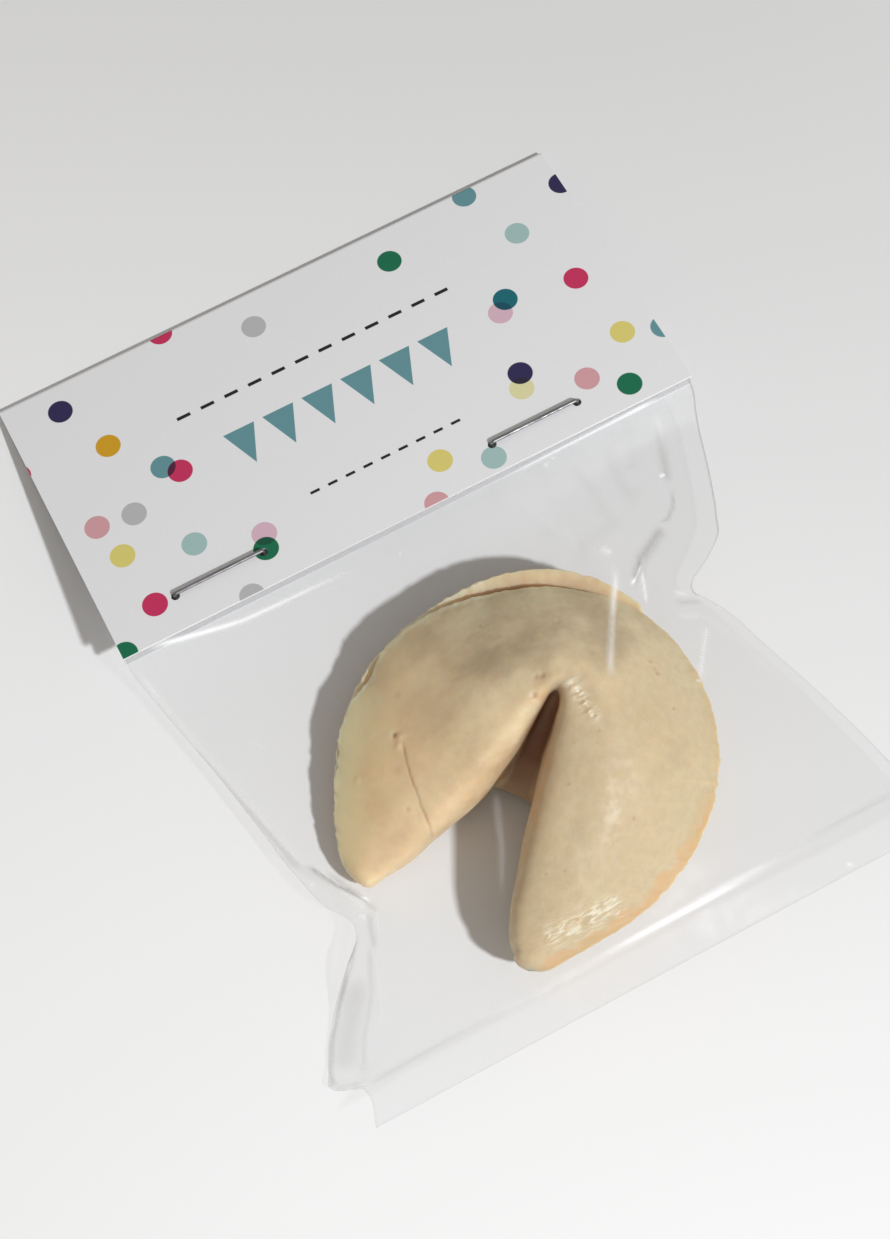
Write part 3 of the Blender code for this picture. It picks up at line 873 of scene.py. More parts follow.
    def crumb(self, s: float, t: float, face: Face, place: Vector, width: float) -> float:
        """Returns how pale and crumbly the worn rim is, from 0 to 1."""
        inward = (1.0 - t) * width
        worn = smooth_step((-0.2 - s) / 0.15) + 0.5 * (face is Face.LOWER_EDGE)
        rough = 0.75 + 0.5 * noise.noise(place / 0.6)
        return clamp(worn * rough * exp(-(inward / 0.4) ** 2) * (face is not Face.LOWER_OUT))

    def gloss(self, place: Vector) -> float:
        """Returns how glossy and wrinkled the wafer is at a point in mm, from 0 to 1, with a
        painted highlight.
        """
        best = 0.0
        for start, end, width in self.gloss_routes:
            off, along = from_line(place, Vector((*start, 0.0)), Vector((*end, 0.0)))
            beyond = max(0.0, -along, along - 1.0) * (Vector(end) - Vector(start)).length
            best = max(best, bell(off, 0.0, width) * bell(beyond, 0.0, 0.8 * width))
        return best

    def relief(self, place: Vector) -> float:
        """Returns how far the wafer's unevenness stands out at a point, both in mm."""
        return sum(height * noise.noise(place / size) for height, size in self.waves)

    def marks(self, place: Vector) -> tuple[float, float]:
        """Works out the crack and the pits of the upper surface.

        Args:
            place: A point on it, in mm.

        Returns:
            How far the surface stands out there, in mm, and how dark the painted shade in its dents
            and crack is, from 0 to 1.
        """
        height, dark = 0.0, 0.0
        for pit in self.pits:
            away = (place.to_2d() - Vector((pit.x, pit.y))).length
            if away < 3.0 * pit.radius:
                share = bell(away, 0.0, pit.radius)
                height -= pit.depth * share
                # painted shade in a dent
                dark += 0.25 * share * (pit.depth > 0)
        crack = self.crack
        route = [Vector((x, y, 0.0)) for x, y in crack.route]
        for i, (start, end) in enumerate(zip(route, route[1:])):
            off, along = from_line(place, start, end)
            if -0.05 <= along <= 1.05 and abs(off) < 4.0:
                off += 0.12 * wander(place.y, 1.3, 7.0) + 0.05 * wander(place.y, 0.5, 8.0)
                whole = (i + along) / (len(route) - 1)
                open_by = smooth_step(whole / 0.12) * (0.75 + 0.4 * wander(whole, 0.2, 5.0))
                groove = bell(off, 0.0, crack.width) * open_by
                lift = exp(-abs(off) / 1.4) * (1.0 if off > 0 else -1.0) * open_by
                # painted shade in the crack's groove
                return (height - crack.depth * groove + crack.step * lift,
                        min(1.0, dark + 0.22 * groove))
        return height, min(1.0, dark)

    def stretch(self) -> list[tuple[Face, float]]:
        """Returns the faces and t values of a cut's points, all round it."""
        points = []
        for face, count in self.counts.items():
            crowding = self.crowding.get(face, 1.0)
            back = face in (Face.LOWER_OUT, Face.UPPER_IN)
            for i in range(count):
                share = 1.0 - i / count if back else i / count
                points.append((face, share ** crowding))
        return points + [(Face.LOWER_OUT, 0.0)]

    def build(self, surface: bpy.types.Material) -> bpy.types.Object:
        """Models the cookie from a grid that is wrapped round both layers.

        Args:
            surface: The crust's material.

        Returns:
            The cookie.
        """
        loop = self.stretch()
        bm = bmesh.new()
        bmesh.ops.create_grid(bm, x_segments=self.sections - 1, y_segments=len(loop) - 1,
                              size=1.0)
        marks = {key: bm.verts.layers.float.new(key)
                 for key in ("toast", "deep", "outer", "painted_lit_side_shade", "gloss", "painted_notch_shade", "crumb",
                             "painted_light")}
        cuts = [Section(self, -1.0 + 2.0 * i / (self.sections - 1))
                for i in range(self.sections)]
        for vertex in bm.verts:
            i = round((vertex.co.x + 1.0) / 2.0 * (self.sections - 1))
            j = round((vertex.co.y + 1.0) / 2.0 * (len(loop) - 1))
            face, t = loop[j]
            place = cuts[i].place(face, t)
            true = cuts[i].true_t(face, t)
            vertex[marks["toast"]] = self.toast(cuts[i].s, true, face, place, cuts[i].width)
            vertex[marks["crumb"]] = self.crumb(cuts[i].s, true, face, place, cuts[i].width)
            vertex[marks["outer"]] = 1.0 if face in (Face.UPPER_OUT, Face.LOWER_OUT) else 0.0
            # painted shade deep in the slit between the layers
            vertex[marks["deep"]] = cuts[i].depth(face, t)
            # painted shade: darkens the lamp-facing right horn towards straw
            vertex[marks["painted_lit_side_shade"]] = 0.8 * smooth_step((cuts[i].s - 0.05) / 0.3)
            # painted light on the left horn's outer half, strongest towards its rim
            vertex[marks["painted_light"]] = (smooth_step((-0.3 - cuts[i].s) / 0.45)
                                     * mix(0.35, 1.0, smooth_step((true - 0.15) / 0.6)))
            # glossy patch: lower roughness, wrinkles and a painted highlight
            vertex[marks["gloss"]] = self.gloss(place)
            if vertex[marks["outer"]] > 0.5:
                # painted shade on the notch's inner end
                vertex[marks["painted_notch_shade"]] = cuts[i].painted_notch_shade(t, place.z)
            vertex.co = place * MM
        bmesh.ops.remove_doubles(bm, verts=bm.verts, dist=0.002 * MM)
        bmesh.ops.recalc_face_normals(bm, faces=bm.faces)
        bm.normal_update()
        for vertex in bm.verts:
            place = vertex.co / MM
            height = self.relief(place)
            height += 0.16 * vertex[marks["crumb"]] * noise.noise(place / 0.55)
            along = Vector((0.55 * place.x + 0.45 * place.y, 0.9 * place.y - 0.7 * place.x, 0.0))
            height += 0.13 * vertex[marks["gloss"]] * noise.noise(along / 0.75)
            if vertex[marks["outer"]] > 0.5 and vertex.normal.z > 0.0:
                extra, dark = self.marks(place)
                height += extra
                # painted shade in the dents and the crack
                vertex[marks["deep"]] = max(vertex[marks["deep"]], dark)
            vertex.co += vertex.normal * height * MM
        return finish_piece(bm, "cookie_wafer", surface, ["cookie"])


class Section:
    """The cut through both layers of the cookie at one s, with lengths in mm."""

    def __init__(self, cookie: Cookie, s: float) -> None:
        """Works out the cut's sizes.

        Args:
            cookie: The cookie.
            s: The cut's place, from -1 to 1; past the tips' cuts it rounds them off.
        """
        self.cookie = cookie
        past = max(0.0, abs(s) - (1.0 - cookie.tip_rounding)) / cookie.tip_rounding
        self.shrink = sqrt(max(0.0, 1.0 - past * past))
        self.push = cookie.horn(s).tip_length * past
        self.s = max(-1.0, min(1.0, s)) * cookie.tip_cut
        s = self.s
        edge = abs(s)
        horn = cookie.horn(s)
        self.start = cookie.crease_point(s)
        across = cookie.rim_point(s) - self.start
        self.width = across.length
        self.direction = across.normalized()
        lip = cookie.lip * bell(s, cookie.lip_at, cookie.lip_spread)
        lip *= 1.0 - smooth_step((s - cookie.lip_end) / cookie.lip_step)
        self.lip = lip
        self.worn = [cookie.raggedness(s, layer) / self.width for layer in (0, 1)]
        self.top = mix(cookie.ridge_height, horn.tip_height, edge ** horn.descent)
        self.top -= horn.dip * bell(edge, cookie.dip_at, cookie.dip_spread)
        self.base = mix(cookie.base_height, horn.tip_base, edge ** cookie.base_taper)
        self.rim = mix(cookie.rim_height, horn.rim_height, edge ** cookie.rim_taper)
        self.crease = mix(self.base, self.top, cookie.crease_share)
        self.peak = mix(cookie.ridge_at_notch, horn.ridge_at,
                        smooth_step(edge / cookie.horn_from))
        self.sag = mix(cookie.middle_sag, horn.sag, smooth_step(edge / cookie.sag_from))
        self.rounding = mix(cookie.ridge_rounding, horn.ridge_rounding,
                            smooth_step(edge / cookie.sag_from))
        self.fullness = mix(cookie.notch_fullness, cookie.fold_fullness,
                            smooth_step(edge / cookie.notch_reach))
        self.fold = min(cookie.crust * cookie.fold_wall / self.width, cookie.narrow_fold_wall)
        self.along_notch = ((self.start - cookie.crease_point(0.0))
                            .dot(Vector(cookie.notch_way)))
        self.tangent = (cookie.crease_point(s * 0.99) + cookie.rim_point(s * 0.99)
                        - cookie.crease_point(s) - cookie.rim_point(s)).normalized()

    def upper(self, t: float) -> float:
        """Returns the upper layer's outer height at t."""
        rim = self.rim + self.cookie.slit / 2 + self.cookie.upper_rim_crust
        rise = self.top - mix(self.crease, rim, self.peak)
        hump = self.cookie.hump(t, self.peak, self.sag, self.rounding, self.fullness)
        return mix(self.crease, rim, t) + rise * hump

    def lower(self, t: float) -> float:
        """Returns the lower layer's outer height at t."""
        rim = self.rim - self.cookie.slit / 2 - self.cookie.lower_rim_crust
        drop = mix(self.crease, rim, self.cookie.belly_at) - self.base
        hump = self.cookie.hump(t, self.cookie.belly_at, self.cookie.belly_sag,
                                self.cookie.ridge_rounding, self.cookie.fold_fullness)
        return max(self.base, mix(self.crease, rim, t) - drop * hump)

    def inner(self, t: float, outer: Callable[[float], float], sign: int) -> float:
        """Returns a layer's inner height at t.

        Args:
            t: The place from the crease to the rim.
            outer: The layer's outer height.
            sign: 1 for the upper layer and -1 for the lower one.

        Returns:
            The outer height less the wall, which is measured square to it.
        """
        cookie = self.cookie
        before, after = max(0.0, t - cookie.slope_step), min(1.0, t + cookie.slope_step)
        slope = (outer(after) - outer(before)) / ((after - before) * self.width)
        at_rim = cookie.upper_rim_crust if sign > 0 else cookie.lower_rim_crust
        wall = mix(cookie.crust, at_rim, t ** cookie.rim_thinning)
        wall *= min(cookie.steepest_wall, sqrt(1.0 + slope ** 2))
        nearest = mix(self.crease, self.rim, t) + sign * cookie.slit / 2
        inside = outer(t) - sign * wall
        return max(inside, nearest) if sign > 0 else min(inside, nearest)

    def true_t(self, face: Face, t: float) -> float:
        """Returns t measured from crease to rim, also on the edges and the inner faces."""
        if face in (Face.UPPER_EDGE, Face.LOWER_EDGE):
            return 1.0
        if face in (Face.UPPER_IN, Face.LOWER_IN):
            return mix(self.fold, 1.0, t)
        return t

    def depth(self, face: Face, t: float) -> float:
        """Returns how deep in the slit a point lies, from 0 outside to 1, which sets the painted
        shade there.
        """
        if face not in (Face.UPPER_IN, Face.LOWER_IN):
            return 0.0
        shown = self.lip / self.width if face is Face.LOWER_IN else 0.0
        return smooth_step((1.0 - self.true_t(face, t)) * self.width / 3.4 - max(0.0, shown))

    def painted_notch_shade(self, t: float, height: float) -> float:
        """Returns how much painted shade darkens the notch's inner end, from 0 outside it to 1."""
        cookie = self.cookie
        near = (bell(max(0.0, self.along_notch), 0.0, cookie.notch_shade_length)
                * smooth_step((cookie.notch_shade_from - t) / cookie.notch_shade_fade))
        near *= mix(cookie.notch_shade_foot, 1.0, smooth_step((height - 1.0) / cookie.notch_shade_rise))
        near *= smooth_step((cookie.notch_shade_end - abs(self.s)) / cookie.notch_shade_end_fade)
        return near * smooth_step((self.top - cookie.notch_shade_top - height) / cookie.notch_shade_top_fade)

    def edge(self, t: float, high: float, low: float) -> tuple[float, float]:
        """Returns how far a rounded rim edge stands out at t down it, and its height."""
        bulge = self.cookie.edge_roundness * sin(pi * t)
        return bulge / self.width, mix(high, low, (1.0 - cos(pi * t)) / 2)

    def reach(self, t: float) -> float:
        """Returns where the lower layer's t lies: towards the rim it stands out as a lip."""
        return t * (1.0 + t ** 4 * self.lip / self.width) + self.worn[1] * t ** RIM_ONLY

    def web(self, t: float, height: float) -> float:
        """Returns how far the notch's inner end slopes out into the notch, in mm."""
        cookie = self.cookie
        low = max(0.0, 1.0 - height / cookie.web_height)
        wanted = cookie.web * low ** 0.8 - self.along_notch
        return max(0.0, wanted) * smooth_step((0.35 - t) / 0.25)

    def place(self, face: Face, t: float) -> Vector:
        """Returns a point of the cut.

        Args:
            face: The stretch of the cut.
            t: The place along it.

        Returns:
            The point in mm.
        """
        cookie = self.cookie
        true = self.true_t(face, t)
        upper_at = true + self.worn[0] * true ** RIM_ONLY
        if face is Face.UPPER_OUT:
            at, height = upper_at, self.upper(true)
        elif face is Face.UPPER_IN:
            at, height = upper_at, self.inner(true, self.upper, 1)
        elif face is Face.LOWER_IN:
            at, height = self.reach(true), self.inner(true, self.lower, -1)
        elif face is Face.LOWER_OUT:
            at, height = self.reach(true), self.lower(true)
        elif face is Face.UPPER_EDGE:
            out, height = self.edge(t, self.upper(1.0), self.inner(1.0, self.upper, 1))
            at = upper_at + out
        else:
            out, height = self.edge(t, self.inner(1.0, self.lower, -1), self.lower(1.0))
            at = self.reach(1.0) + out
        middle = Vector((0.5, (self.upper(0.5) + self.lower(0.5)) / 2))
        spot = middle + (Vector((at, height)) - middle) * self.shrink
        flat = (self.start + self.direction * self.width * spot.x - self.tangent * self.push
                + Vector(cookie.notch_way) * self.web(true, height))
        return Vector((flat.x, flat.y, spot.y))


@dataclass(frozen=True)
class Crease:
    """A ridge, a furrow or a mark that runs along the film.

    The route is in mm from above.  The height lifts the film over the two widths, which are
    those of its left and right slopes.  Painted highlight and shade mark it over the two other
    widths.
    """

    route: tuple[Place, ...]
    height: float = 0.0
    left: float = 0.5
    right: float = 0.5
    white: float = 0.0
    painted_film_shade: float = 0.0
    mark: float = 0.3
    fade: float = 0.25

    def nearness(self, x: float, y: float) -> tuple[float, float]:
        """Measures a place against the crease.

        Args:
            x: The place's x in mm.
            y: Its y in mm.

        Returns:
            The signed distance from the crease, and how much of it is left there, from 0
            beyond its ends to 1.
        """
        best, off_best = 0.0, 99.0
        place = Vector((x, y, 0.0))
        steps = len(self.route) - 1
        for i, (start, end) in enumerate(zip(self.route, self.route[1:])):
            length = (Vector(end) - Vector(start)).length
            off, along = from_line(place, Vector((*start, 0.0)), Vector((*end, 0.0)))
            beyond = max(0.0, -along, along - 1.0) * length
            away = sqrt(off * off + beyond * beyond)
            if away < abs(off_best):
                whole = (i + clamp(along)) / steps
                best = smooth_step(whole / self.fade) * smooth_step((1.0 - whole) / self.fade)
                off_best = away if off > 0 else -away
        return off_best, best

    def effect(self, x: float, y: float) -> tuple[float, float, float]:
        """Returns how far the film is lifted at a place in mm, its painted highlight and its
        painted shade.
        """
        off, left = self.nearness(x, y)
        if left <= 0.0 or abs(off) > 6.0:
            return 0.0, 0.0, 0.0
        width = self.left if off > 0 else self.right
        mark = bell(off, 0.0, self.mark) * left
        return self.height * exp(-abs(off) / width) * left, self.white * mark, self.painted_film_shade * mark


@dataclass
class FilmBag:
    """A flat bag of clear film draped over the cookie, with lengths in mm.

    Its outline is given by (y, x) points down each side.  The upper film is pulled taut
    between its edges and what is under it, and then creased.
    """

    fold_y: float
    fold_height: float
    tilt: float
    card: float = 0.35
    gap: float = 0.3
    film: float = 0.3
    film_gap: float = 0.25
    mouth: float = 9.5
    flap: float = 40.2
    half_width: float = 39.8
    seal_y: float = -51.85
    seal_heights: tuple[tuple[float, float], ...] = (
        (-38.4, 4.6), (-30.0, 6.8), (0.0, 6.8), (24.0, 6.6), (39.6, 5.0))
    seal_rise: float = 5.0
    sheet_gap: float = 0.12
    clearance: float = 0.22
    card_rows: int = 14
    rows: int = 200
    columns: int = 210
    crowding: float = 1.7
    crowded: float = 0.65
    passes: int = 2200
    left_side: tuple[Place, ...] = (
        (12.4, -40.2), (4.0, -38.3), (-5.0, -36.2), (-14.0, -34.5), (-21.0, -33.2),
        (-26.0, -31.6), (-28.6, -29.9), (-30.6, -30.2), (-33.0, -32.6), (-36.5, -36.2),
        (-40.0, -38.9), (-42.9, -40.4), (-45.0, -41.0), (-45.8, -40.0), (-46.5, -37.9),
        (-47.4, -37.5), (-51.85, -38.4))
    right_side: tuple[Place, ...] = (
        (12.4, 40.0), (6.0, 38.2), (0.5, 36.5), (-4.5, 34.6), (-6.8, 33.4), (-8.8, 30.6),
        (-10.2, 28.0), (-11.6, 27.3), (-13.2, 28.2), (-16.0, 29.6), (-22.0, 31.6),
        (-33.0, 35.2), (-42.0, 37.6), (-51.85, 39.6))
    # each crease may lift the film, paint a highlight or glint along it, and paint shade along it
    creases: tuple[Crease, ...] = (
        Crease(((18.9, -4.6), (17.0, -8.4), (14.2, -12.4), (10.9, -17.3), (9.6, -20.0)), 0.9,
               0.35, 0.9, 0.42, 0.0, 0.4),
        Crease(((27.4, -3.2), (24.2, -5.1), (22.1, -6.4), (18.9, -9.5)), 0.5, 0.5, 0.5, 0.0,
               0.42, 0.7, 0.15),
        Crease(((22.3, -4.6), (21.2, -8.2), (20.0, -11.9)), 0.5, 0.3, 0.4, 0.5, 0.0, 0.16),
        Crease(((33.9, 10.9), (32.6, 6.5), (31.4, 3.4), (31.0, 1.4)), -0.2, 0.8, 0.8, 0.0,
               0.32, 0.6, 0.3),
        Crease(((31.0, 1.2), (29.7, -1.4), (28.2, -2.6), (26.8, -2.8)), 0.25, 0.4, 0.4, 0.0,
               0.36, 0.25),
        Crease(((30.1, 2.9), (31.3, 3.1)), 0.0, 0.5, 0.5, 0.9, 0.0, 0.2),
        Crease(((17.9, -2.6), (19.1, -4.2)), 0.3, 0.6, 0.6, 0.4, 0.0, 0.5),
        Crease(((25.9, -16.6), (23.3, -19.7), (20.4, -23.4)), 0.5, 0.3, 0.5, 0.5, 0.0, 0.2,
               0.15),
        Crease(((24.4, -10.9), (26.4, -12.0)), 0.2, 0.4, 0.4, 0.3, 0.0, 0.35),
        Crease(((23.8, -12.4), (27.2, -13.4)), -0.2, 0.4, 0.4, 0.0, 0.2, 0.4),
        Crease(((22.9, -14.2), (26.0, -15.3)), 0.2, 0.4, 0.4, 0.22, 0.0, 0.5),
        Crease(((12.0, 9.5), (14.8, 3.0), (16.2, -1.0)), 0.1, 0.8, 0.8, 0.05, 0.0, 0.7),
        Crease(((20.4, 9.5), (21.4, 4.0), (20.9, -0.5)), 0.15, 0.7, 0.7, 0.0, 0.06, 0.8),
        Crease(((26.0, 10.5), (25.2, 5.0), (25.6, 0.5)), -0.15, 0.9, 0.9, 0.0, 0.08, 0.9),
        Crease(((-37.6, 12.5), (-35.0, 12.2), (-30.0, 11.2), (-24.8, 10.2), (-19.3, 9.9),
                (-13.7, 9.7), (-8.0, 9.3)), -0.15, 0.5, 0.8, 0.95, 0.0, 0.3, 0.3),
        Crease(((13.0, 11.5), (20.6, 11.7), (26.4, 11.8), (35.9, 12.0)), -0.1, 0.5, 0.8, 0.7,
               0.0, 0.2, 0.15),
        Crease(((-39.2, 11.5), (-38.2, 6.3), (-36.7, -0.4), (-34.6, -9.0), (-32.9, -16.0),
                (-32.1, -19.3), (-29.7, -24.2), (-26.6, -29.4)), 0.3, 0.5, 0.9, 0.34, 0.0, 0.25,
               0.1),
        Crease(((-38.6, 3.0), (-36.9, -4.0), (-34.9, -12.0), (-33.3, -19.8)), 0.0, 0.5, 0.5,
               0.24, 0.0, 0.55, 0.1),
        Crease(((-37.6, 0.5), (-35.4, -8.6), (-33.5, -16.2), (-32.4, -20.5)), -0.15, 0.4, 0.4,
               0.0, 0.18, 0.4, 0.1),
        Crease(((-38.5, 12.7), (-20.0, 12.6), (0.0, 12.5), (20.0, 12.5), (38.5, 12.7)), 0.0,
               0.5, 0.5, 0.25, 0.0, 0.3, 0.02),
        Crease(((-31.8, -19.9), (-29.4, -24.4), (-26.6, -28.2)), 0.5, 0.3, 0.45, 0.0, 0.45,
               0.28, 0.2),
        Crease(((-31.0, -20.5), (-28.8, -25.4), (-27.0, -29.5)), -0.4, 0.3, 0.45, 0.36, 0.0,
               0.3),
        Crease(((-30.2, -21.5), (-27.9, -26.0), (-26.2, -30.2)), 0.3, 0.3, 0.4, 0.0, 0.22,
               0.3),
        Crease(((-26.4, -28.4), (-27.4, -30.6), (-28.2, -33.0)), 0.4, 0.35, 0.5, 0.25, 0.0,
               0.25),
        Crease(((-27.4, -28.6), (-28.2, -30.6), (-29.0, -33.4)), -0.3, 0.35, 0.5, 0.0, 0.25,
               0.3),
        Crease(((-37.2, -46.6), (-15.0, -47.1), (10.0, -46.6), (36.5, -45.6)), 0.0, 0.5, 0.5,
               0.0, 0.17, 0.3, 0.03),
        Crease(((-28.8, -31.6), (-30.5, -37.0), (-33.0, -43.0)), 0.45, 0.45, 0.6, 0.14, 0.0,
               0.3),
        Crease(((-29.9, -30.0), (-32.4, -33.2), (-35.9, -36.9), (-38.6, -40.3), (-40.2, -43.1),
                (-40.8, -45.0)), 0.0, 0.5, 0.5, 0.0, 0.5, 0.32, 0.08),
        Crease(((-41.0, -45.3), (-37.7, -46.3)), 0.0, 0.5, 0.5, 0.0, 0.3, 0.3, 0.05),
        Crease(((-31.6, -34.4), (-36.2, -40.0), (-39.2, -44.4)), 0.0, 0.5, 0.5, 0.0, 0.2,
               1.7, 0.2),
        Crease(((-29.0, -31.5), (-31.7, -37.6), (-35.1, -42.1), (-37.2, -46.2)), 0.3, 0.6,
               0.6, 0.0, 0.16, 0.35, 0.15),
        Crease(((-8.0, -24.0), (-9.2, -27.0), (-10.4, -30.2), (-13.5, -36.0)), 0.15, 0.5, 0.5,
               0.14, 0.0, 0.35),
        Crease(((-30.8, -3.1), (-29.6, -5.7)), 0.1, 0.3, 0.3, 0.25, 0.0, 0.18),
        Crease(((25.0, -12.5), (28.6, -20.0), (31.0, -28.0)), 0.2, 0.6, 0.6, 0.05, 0.0, 0.5))
    # painted glints: small white spots
    spots: tuple[tuple[float, float, float, float], ...] = (
        (18.0, 10.6, 0.22, 0.9), (19.3, 11.0, 0.17, 0.9), (29.1, -15.0, 0.3, 0.9),
        (20.4, -23.4, 0.25, 0.6), (-32.0, -22.5, 0.25, 0.9), (-28.4, -28.9, 0.28, 0.9),
        (-32.9, -16.0, 0.2, 0.6), (-27.6, -31.0, 0.2, 0.5), (-3.8, 8.45, 0.25, 0.5),
        (25.6, -51.0, 0.22, 0.6), (24.4, -49.8, 0.2, 0.4))
    flap_at: Place = (-38.0, -41.0)
    flap_reach: float = 7.0
    curl_at: Place = (26.2, -50.8)
    curl: float = 1.3
    curl_reach: float = 2.4
    held: tuple[float, float, float] = (0.03, 2.0, 1.5)

    @staticmethod
    def side(points: tuple[Place, ...], y: float) -> float:
        """Returns the x of a side outline at y: a smooth curve through its points."""
        ys = np.array([point[0] for point in points])[::-1]
        xs = np.array([point[1] for point in points])[::-1]
        slopes = np.gradient(xs, ys)
        y = min(ys[-1], max(ys[0], y))
        i = int(min(len(ys) - 2, max(0, np.searchsorted(ys, y) - 1)))
        step = ys[i + 1] - ys[i]
        u = (y - ys[i]) / step
        return float((2 * u ** 3 - 3 * u ** 2 + 1) * xs[i] + (u ** 3 - 2 * u ** 2 + u)
                     * step * slopes[i] + (3 * u ** 2 - 2 * u ** 3) * xs[i + 1]
                     + (u ** 3 - u ** 2) * step * slopes[i + 1])

    def in_card(self, x: float, down: float, depth: float) -> Vector:
        """Returns a place between the card's flaps, down from the fold, in mm."""
        return Vector((x, self.fold_y - down * cos(self.tilt) - depth * sin(self.tilt),
                       self.fold_height + down * sin(self.tilt) - depth * cos(self.tilt)))

    def spread(self) -> tuple[np.ndarray, np.ndarray]:
        """Returns the x and y of the free film's points, row by row from the card."""
        edge = self.in_card(0.0, self.flap, self.card + self.gap).y
        share = np.linspace(0.0, 1.0, self.rows)
        share = (1 - self.crowded) * share + self.crowded * share ** self.crowding
        ys = edge + (self.seal_y - edge) * share
        lefts = np.array([self.side(self.left_side, y) for y in ys])
        rights = np.array([self.side(self.right_side, y) for y in ys])
        blend = np.clip((edge - ys) / 3.0, 0.0, 1.0)
        lefts = -self.half_width * (1 - blend) + lefts * blend
        rights = self.half_width * (1 - blend) + rights * blend
        across = np.linspace(0.0, 1.0, self.columns)
        x = lefts[:, None] + (rights - lefts)[:, None] * across[None, :]
        return x, np.repeat(ys[:, None], self.columns, axis=1)

    def heights_on(self, tree: BVHTree, x: np.ndarray, y: np.ndarray,
                   from_below: bool) -> np.ndarray:
        """Measures the height of a shape at each point.

        Args:
            tree: The shape.
            x: The points' x in mm.
            y: The points' y in mm.
            from_below: Whether its lower side is measured.

        Returns:
            The heights in mm, and not-a-number where the shape isn't met.
        """
        sign = 1.0 if from_below else -1.0
        start = -1.0 if from_below else 1.0
        found = np.full(x.shape, np.nan)
        for index in np.ndindex(x.shape):
            hit = tree.ray_cast(Vector((x[index] * MM, y[index] * MM, start)),
                                Vector((0.0, 0.0, sign)))[0]
            if hit is not None:
                found[index] = hit.z / MM
        return found

    @staticmethod
    def fill(heights: np.ndarray) -> np.ndarray:
        """Fills what wasn't met from the nearest point of the same row."""
        for row in heights:
            known = np.flatnonzero(~np.isnan(row))
            if len(known):
                row[:] = np.interp(np.arange(len(row)), known, row[known])
        known_rows = [i for i, row in enumerate(heights) if not np.isnan(row).any()]
        for i, row in enumerate(heights):
            if np.isnan(row).any():
                row[:] = heights[min(known_rows, key=lambda other: abs(other - i))]
        return heights

    @staticmethod
    def relax(heights: np.ndarray, floor: np.ndarray, passes: int,
              ceiling: np.ndarray | None = None) -> None:
        """Pulls a film taut between its held edges, above a floor and below a ceiling."""
        for _ in range(passes):
            level = (heights[:-2, 1:-1] + heights[2:, 1:-1]
                     + heights[1:-1, :-2] + heights[1:-1, 2:]) / 4
            level = np.maximum(level, floor[1:-1, 1:-1])
            if ceiling is not None:
                level = np.minimum(level, ceiling[1:-1, 1:-1])
            heights[1:-1, 1:-1] = level

    def drape(self, bag: BVHTree, cookie: BVHTree) -> tuple[np.ndarray, ...]:
        """Works out where both films lie.

        Args:
            bag: The frame's bag.
            cookie: The finished cookie.

        Returns:
            The free film's x and y, and the heights of its upper and lower sheets, in mm.
        """
        x, y = self.spread()
        lower = self.fill(self.heights_on(bag, x, y, True)) + self.film / 2
        upper = self.fill(self.heights_on(bag, x, y, False)) - self.film / 2
        over = self.heights_on(cookie, x, y, False)
        under = self.heights_on(cookie, x, y, True)
        ceiling = np.where(np.isnan(under), 99.0, under - self.clearance)
        lower = np.maximum(self.film / 2, np.minimum(lower, ceiling))
        self.relax(lower, np.full(lower.shape, self.film / 2), 60, ceiling)
        places, heights = zip(*self.seal_heights)
        seal = np.interp(x[-1], places, heights)
        near = np.clip((y - self.seal_y) / self.seal_rise, 0.0, 1.0)
        near = near * near * (3.0 - 2.0 * near)
        lower = np.minimum(np.maximum(lower, seal[None, :] * (1.0 - near)), ceiling)
        away = np.hypot(x - self.flap_at[0], y - self.flap_at[1]) / self.flap_reach
        lower = mix(lower, self.film, np.exp(-away ** 4))
        floor = np.where(np.isnan(over), lower + self.sheet_gap, over + self.clearance)
        floor = np.maximum(floor, lower + self.sheet_gap)
        upper[:, 0], upper[:, -1] = floor[:, 0], floor[:, -1]
        upper[-1] = floor[-1]
        upper[0] = self.in_card(0.0, self.flap, self.card + self.gap + self.film / 2).z
        lower[0] = upper[0] - self.film - self.film_gap
        self.relax(upper, floor, self.passes)
        return x, y, upper, lower

    def marks(self, x: np.ndarray, y: np.ndarray) -> tuple[np.ndarray, np.ndarray, np.ndarray]:
        """Works out how the upper film departs from a taut clear one.

        Args:
            x: The points' x in mm.
            y: The points' y in mm.

        Returns:
            How far each point is lifted in mm, and how strong its painted highlight and painted
            shade are.
        """
        lifted, white, painted_film_shade = (np.zeros(x.shape) for _ in range(3))
        across = (x - x[:, :1]) / (x[:, -1:] - x[:, :1])
        held_side, held_card, held_seal = self.held
        inside = np.clip(np.minimum(across, 1 - across) / held_side, 0.0, 1.0)
        inside = inside * np.clip((y[0, 0] - y) / held_card, 0, 1)
        inside = inside * np.clip((y - self.seal_y) / held_seal, 0, 1)
        for index in np.ndindex(x.shape):
            place = Vector((x[index], y[index], 0.0))
            for crease in self.creases:
                rise, pale, dark = crease.effect(place.x, place.y)
                lifted[index] += rise * inside[index]
                white[index] = max(white[index], pale)
                painted_film_shade[index] = max(painted_film_shade[index], dark)
            # painted glints at the listed spots
            for spot_x, spot_y, radius, strength in self.spots:
                off = (place.to_2d() - Vector((spot_x, spot_y))).length
                white[index] = max(white[index], strength * bell(off, 0.0, radius))
            slant = Vector((0.55 * place.x + 0.2 * place.y, 0.25 * place.y - 0.1 * place.x, 0.0))
            uneven = 0.16 * noise.noise(slant / 3.2) + 0.04 * noise.noise(place / 2.2)
            lifted[index] += uneven * inside[index]
        away = np.hypot(x - self.curl_at[0], y - self.curl_at[1])
        return lifted + self.curl * np.exp(-(away / self.curl_reach) ** 2), white, painted_film_shade

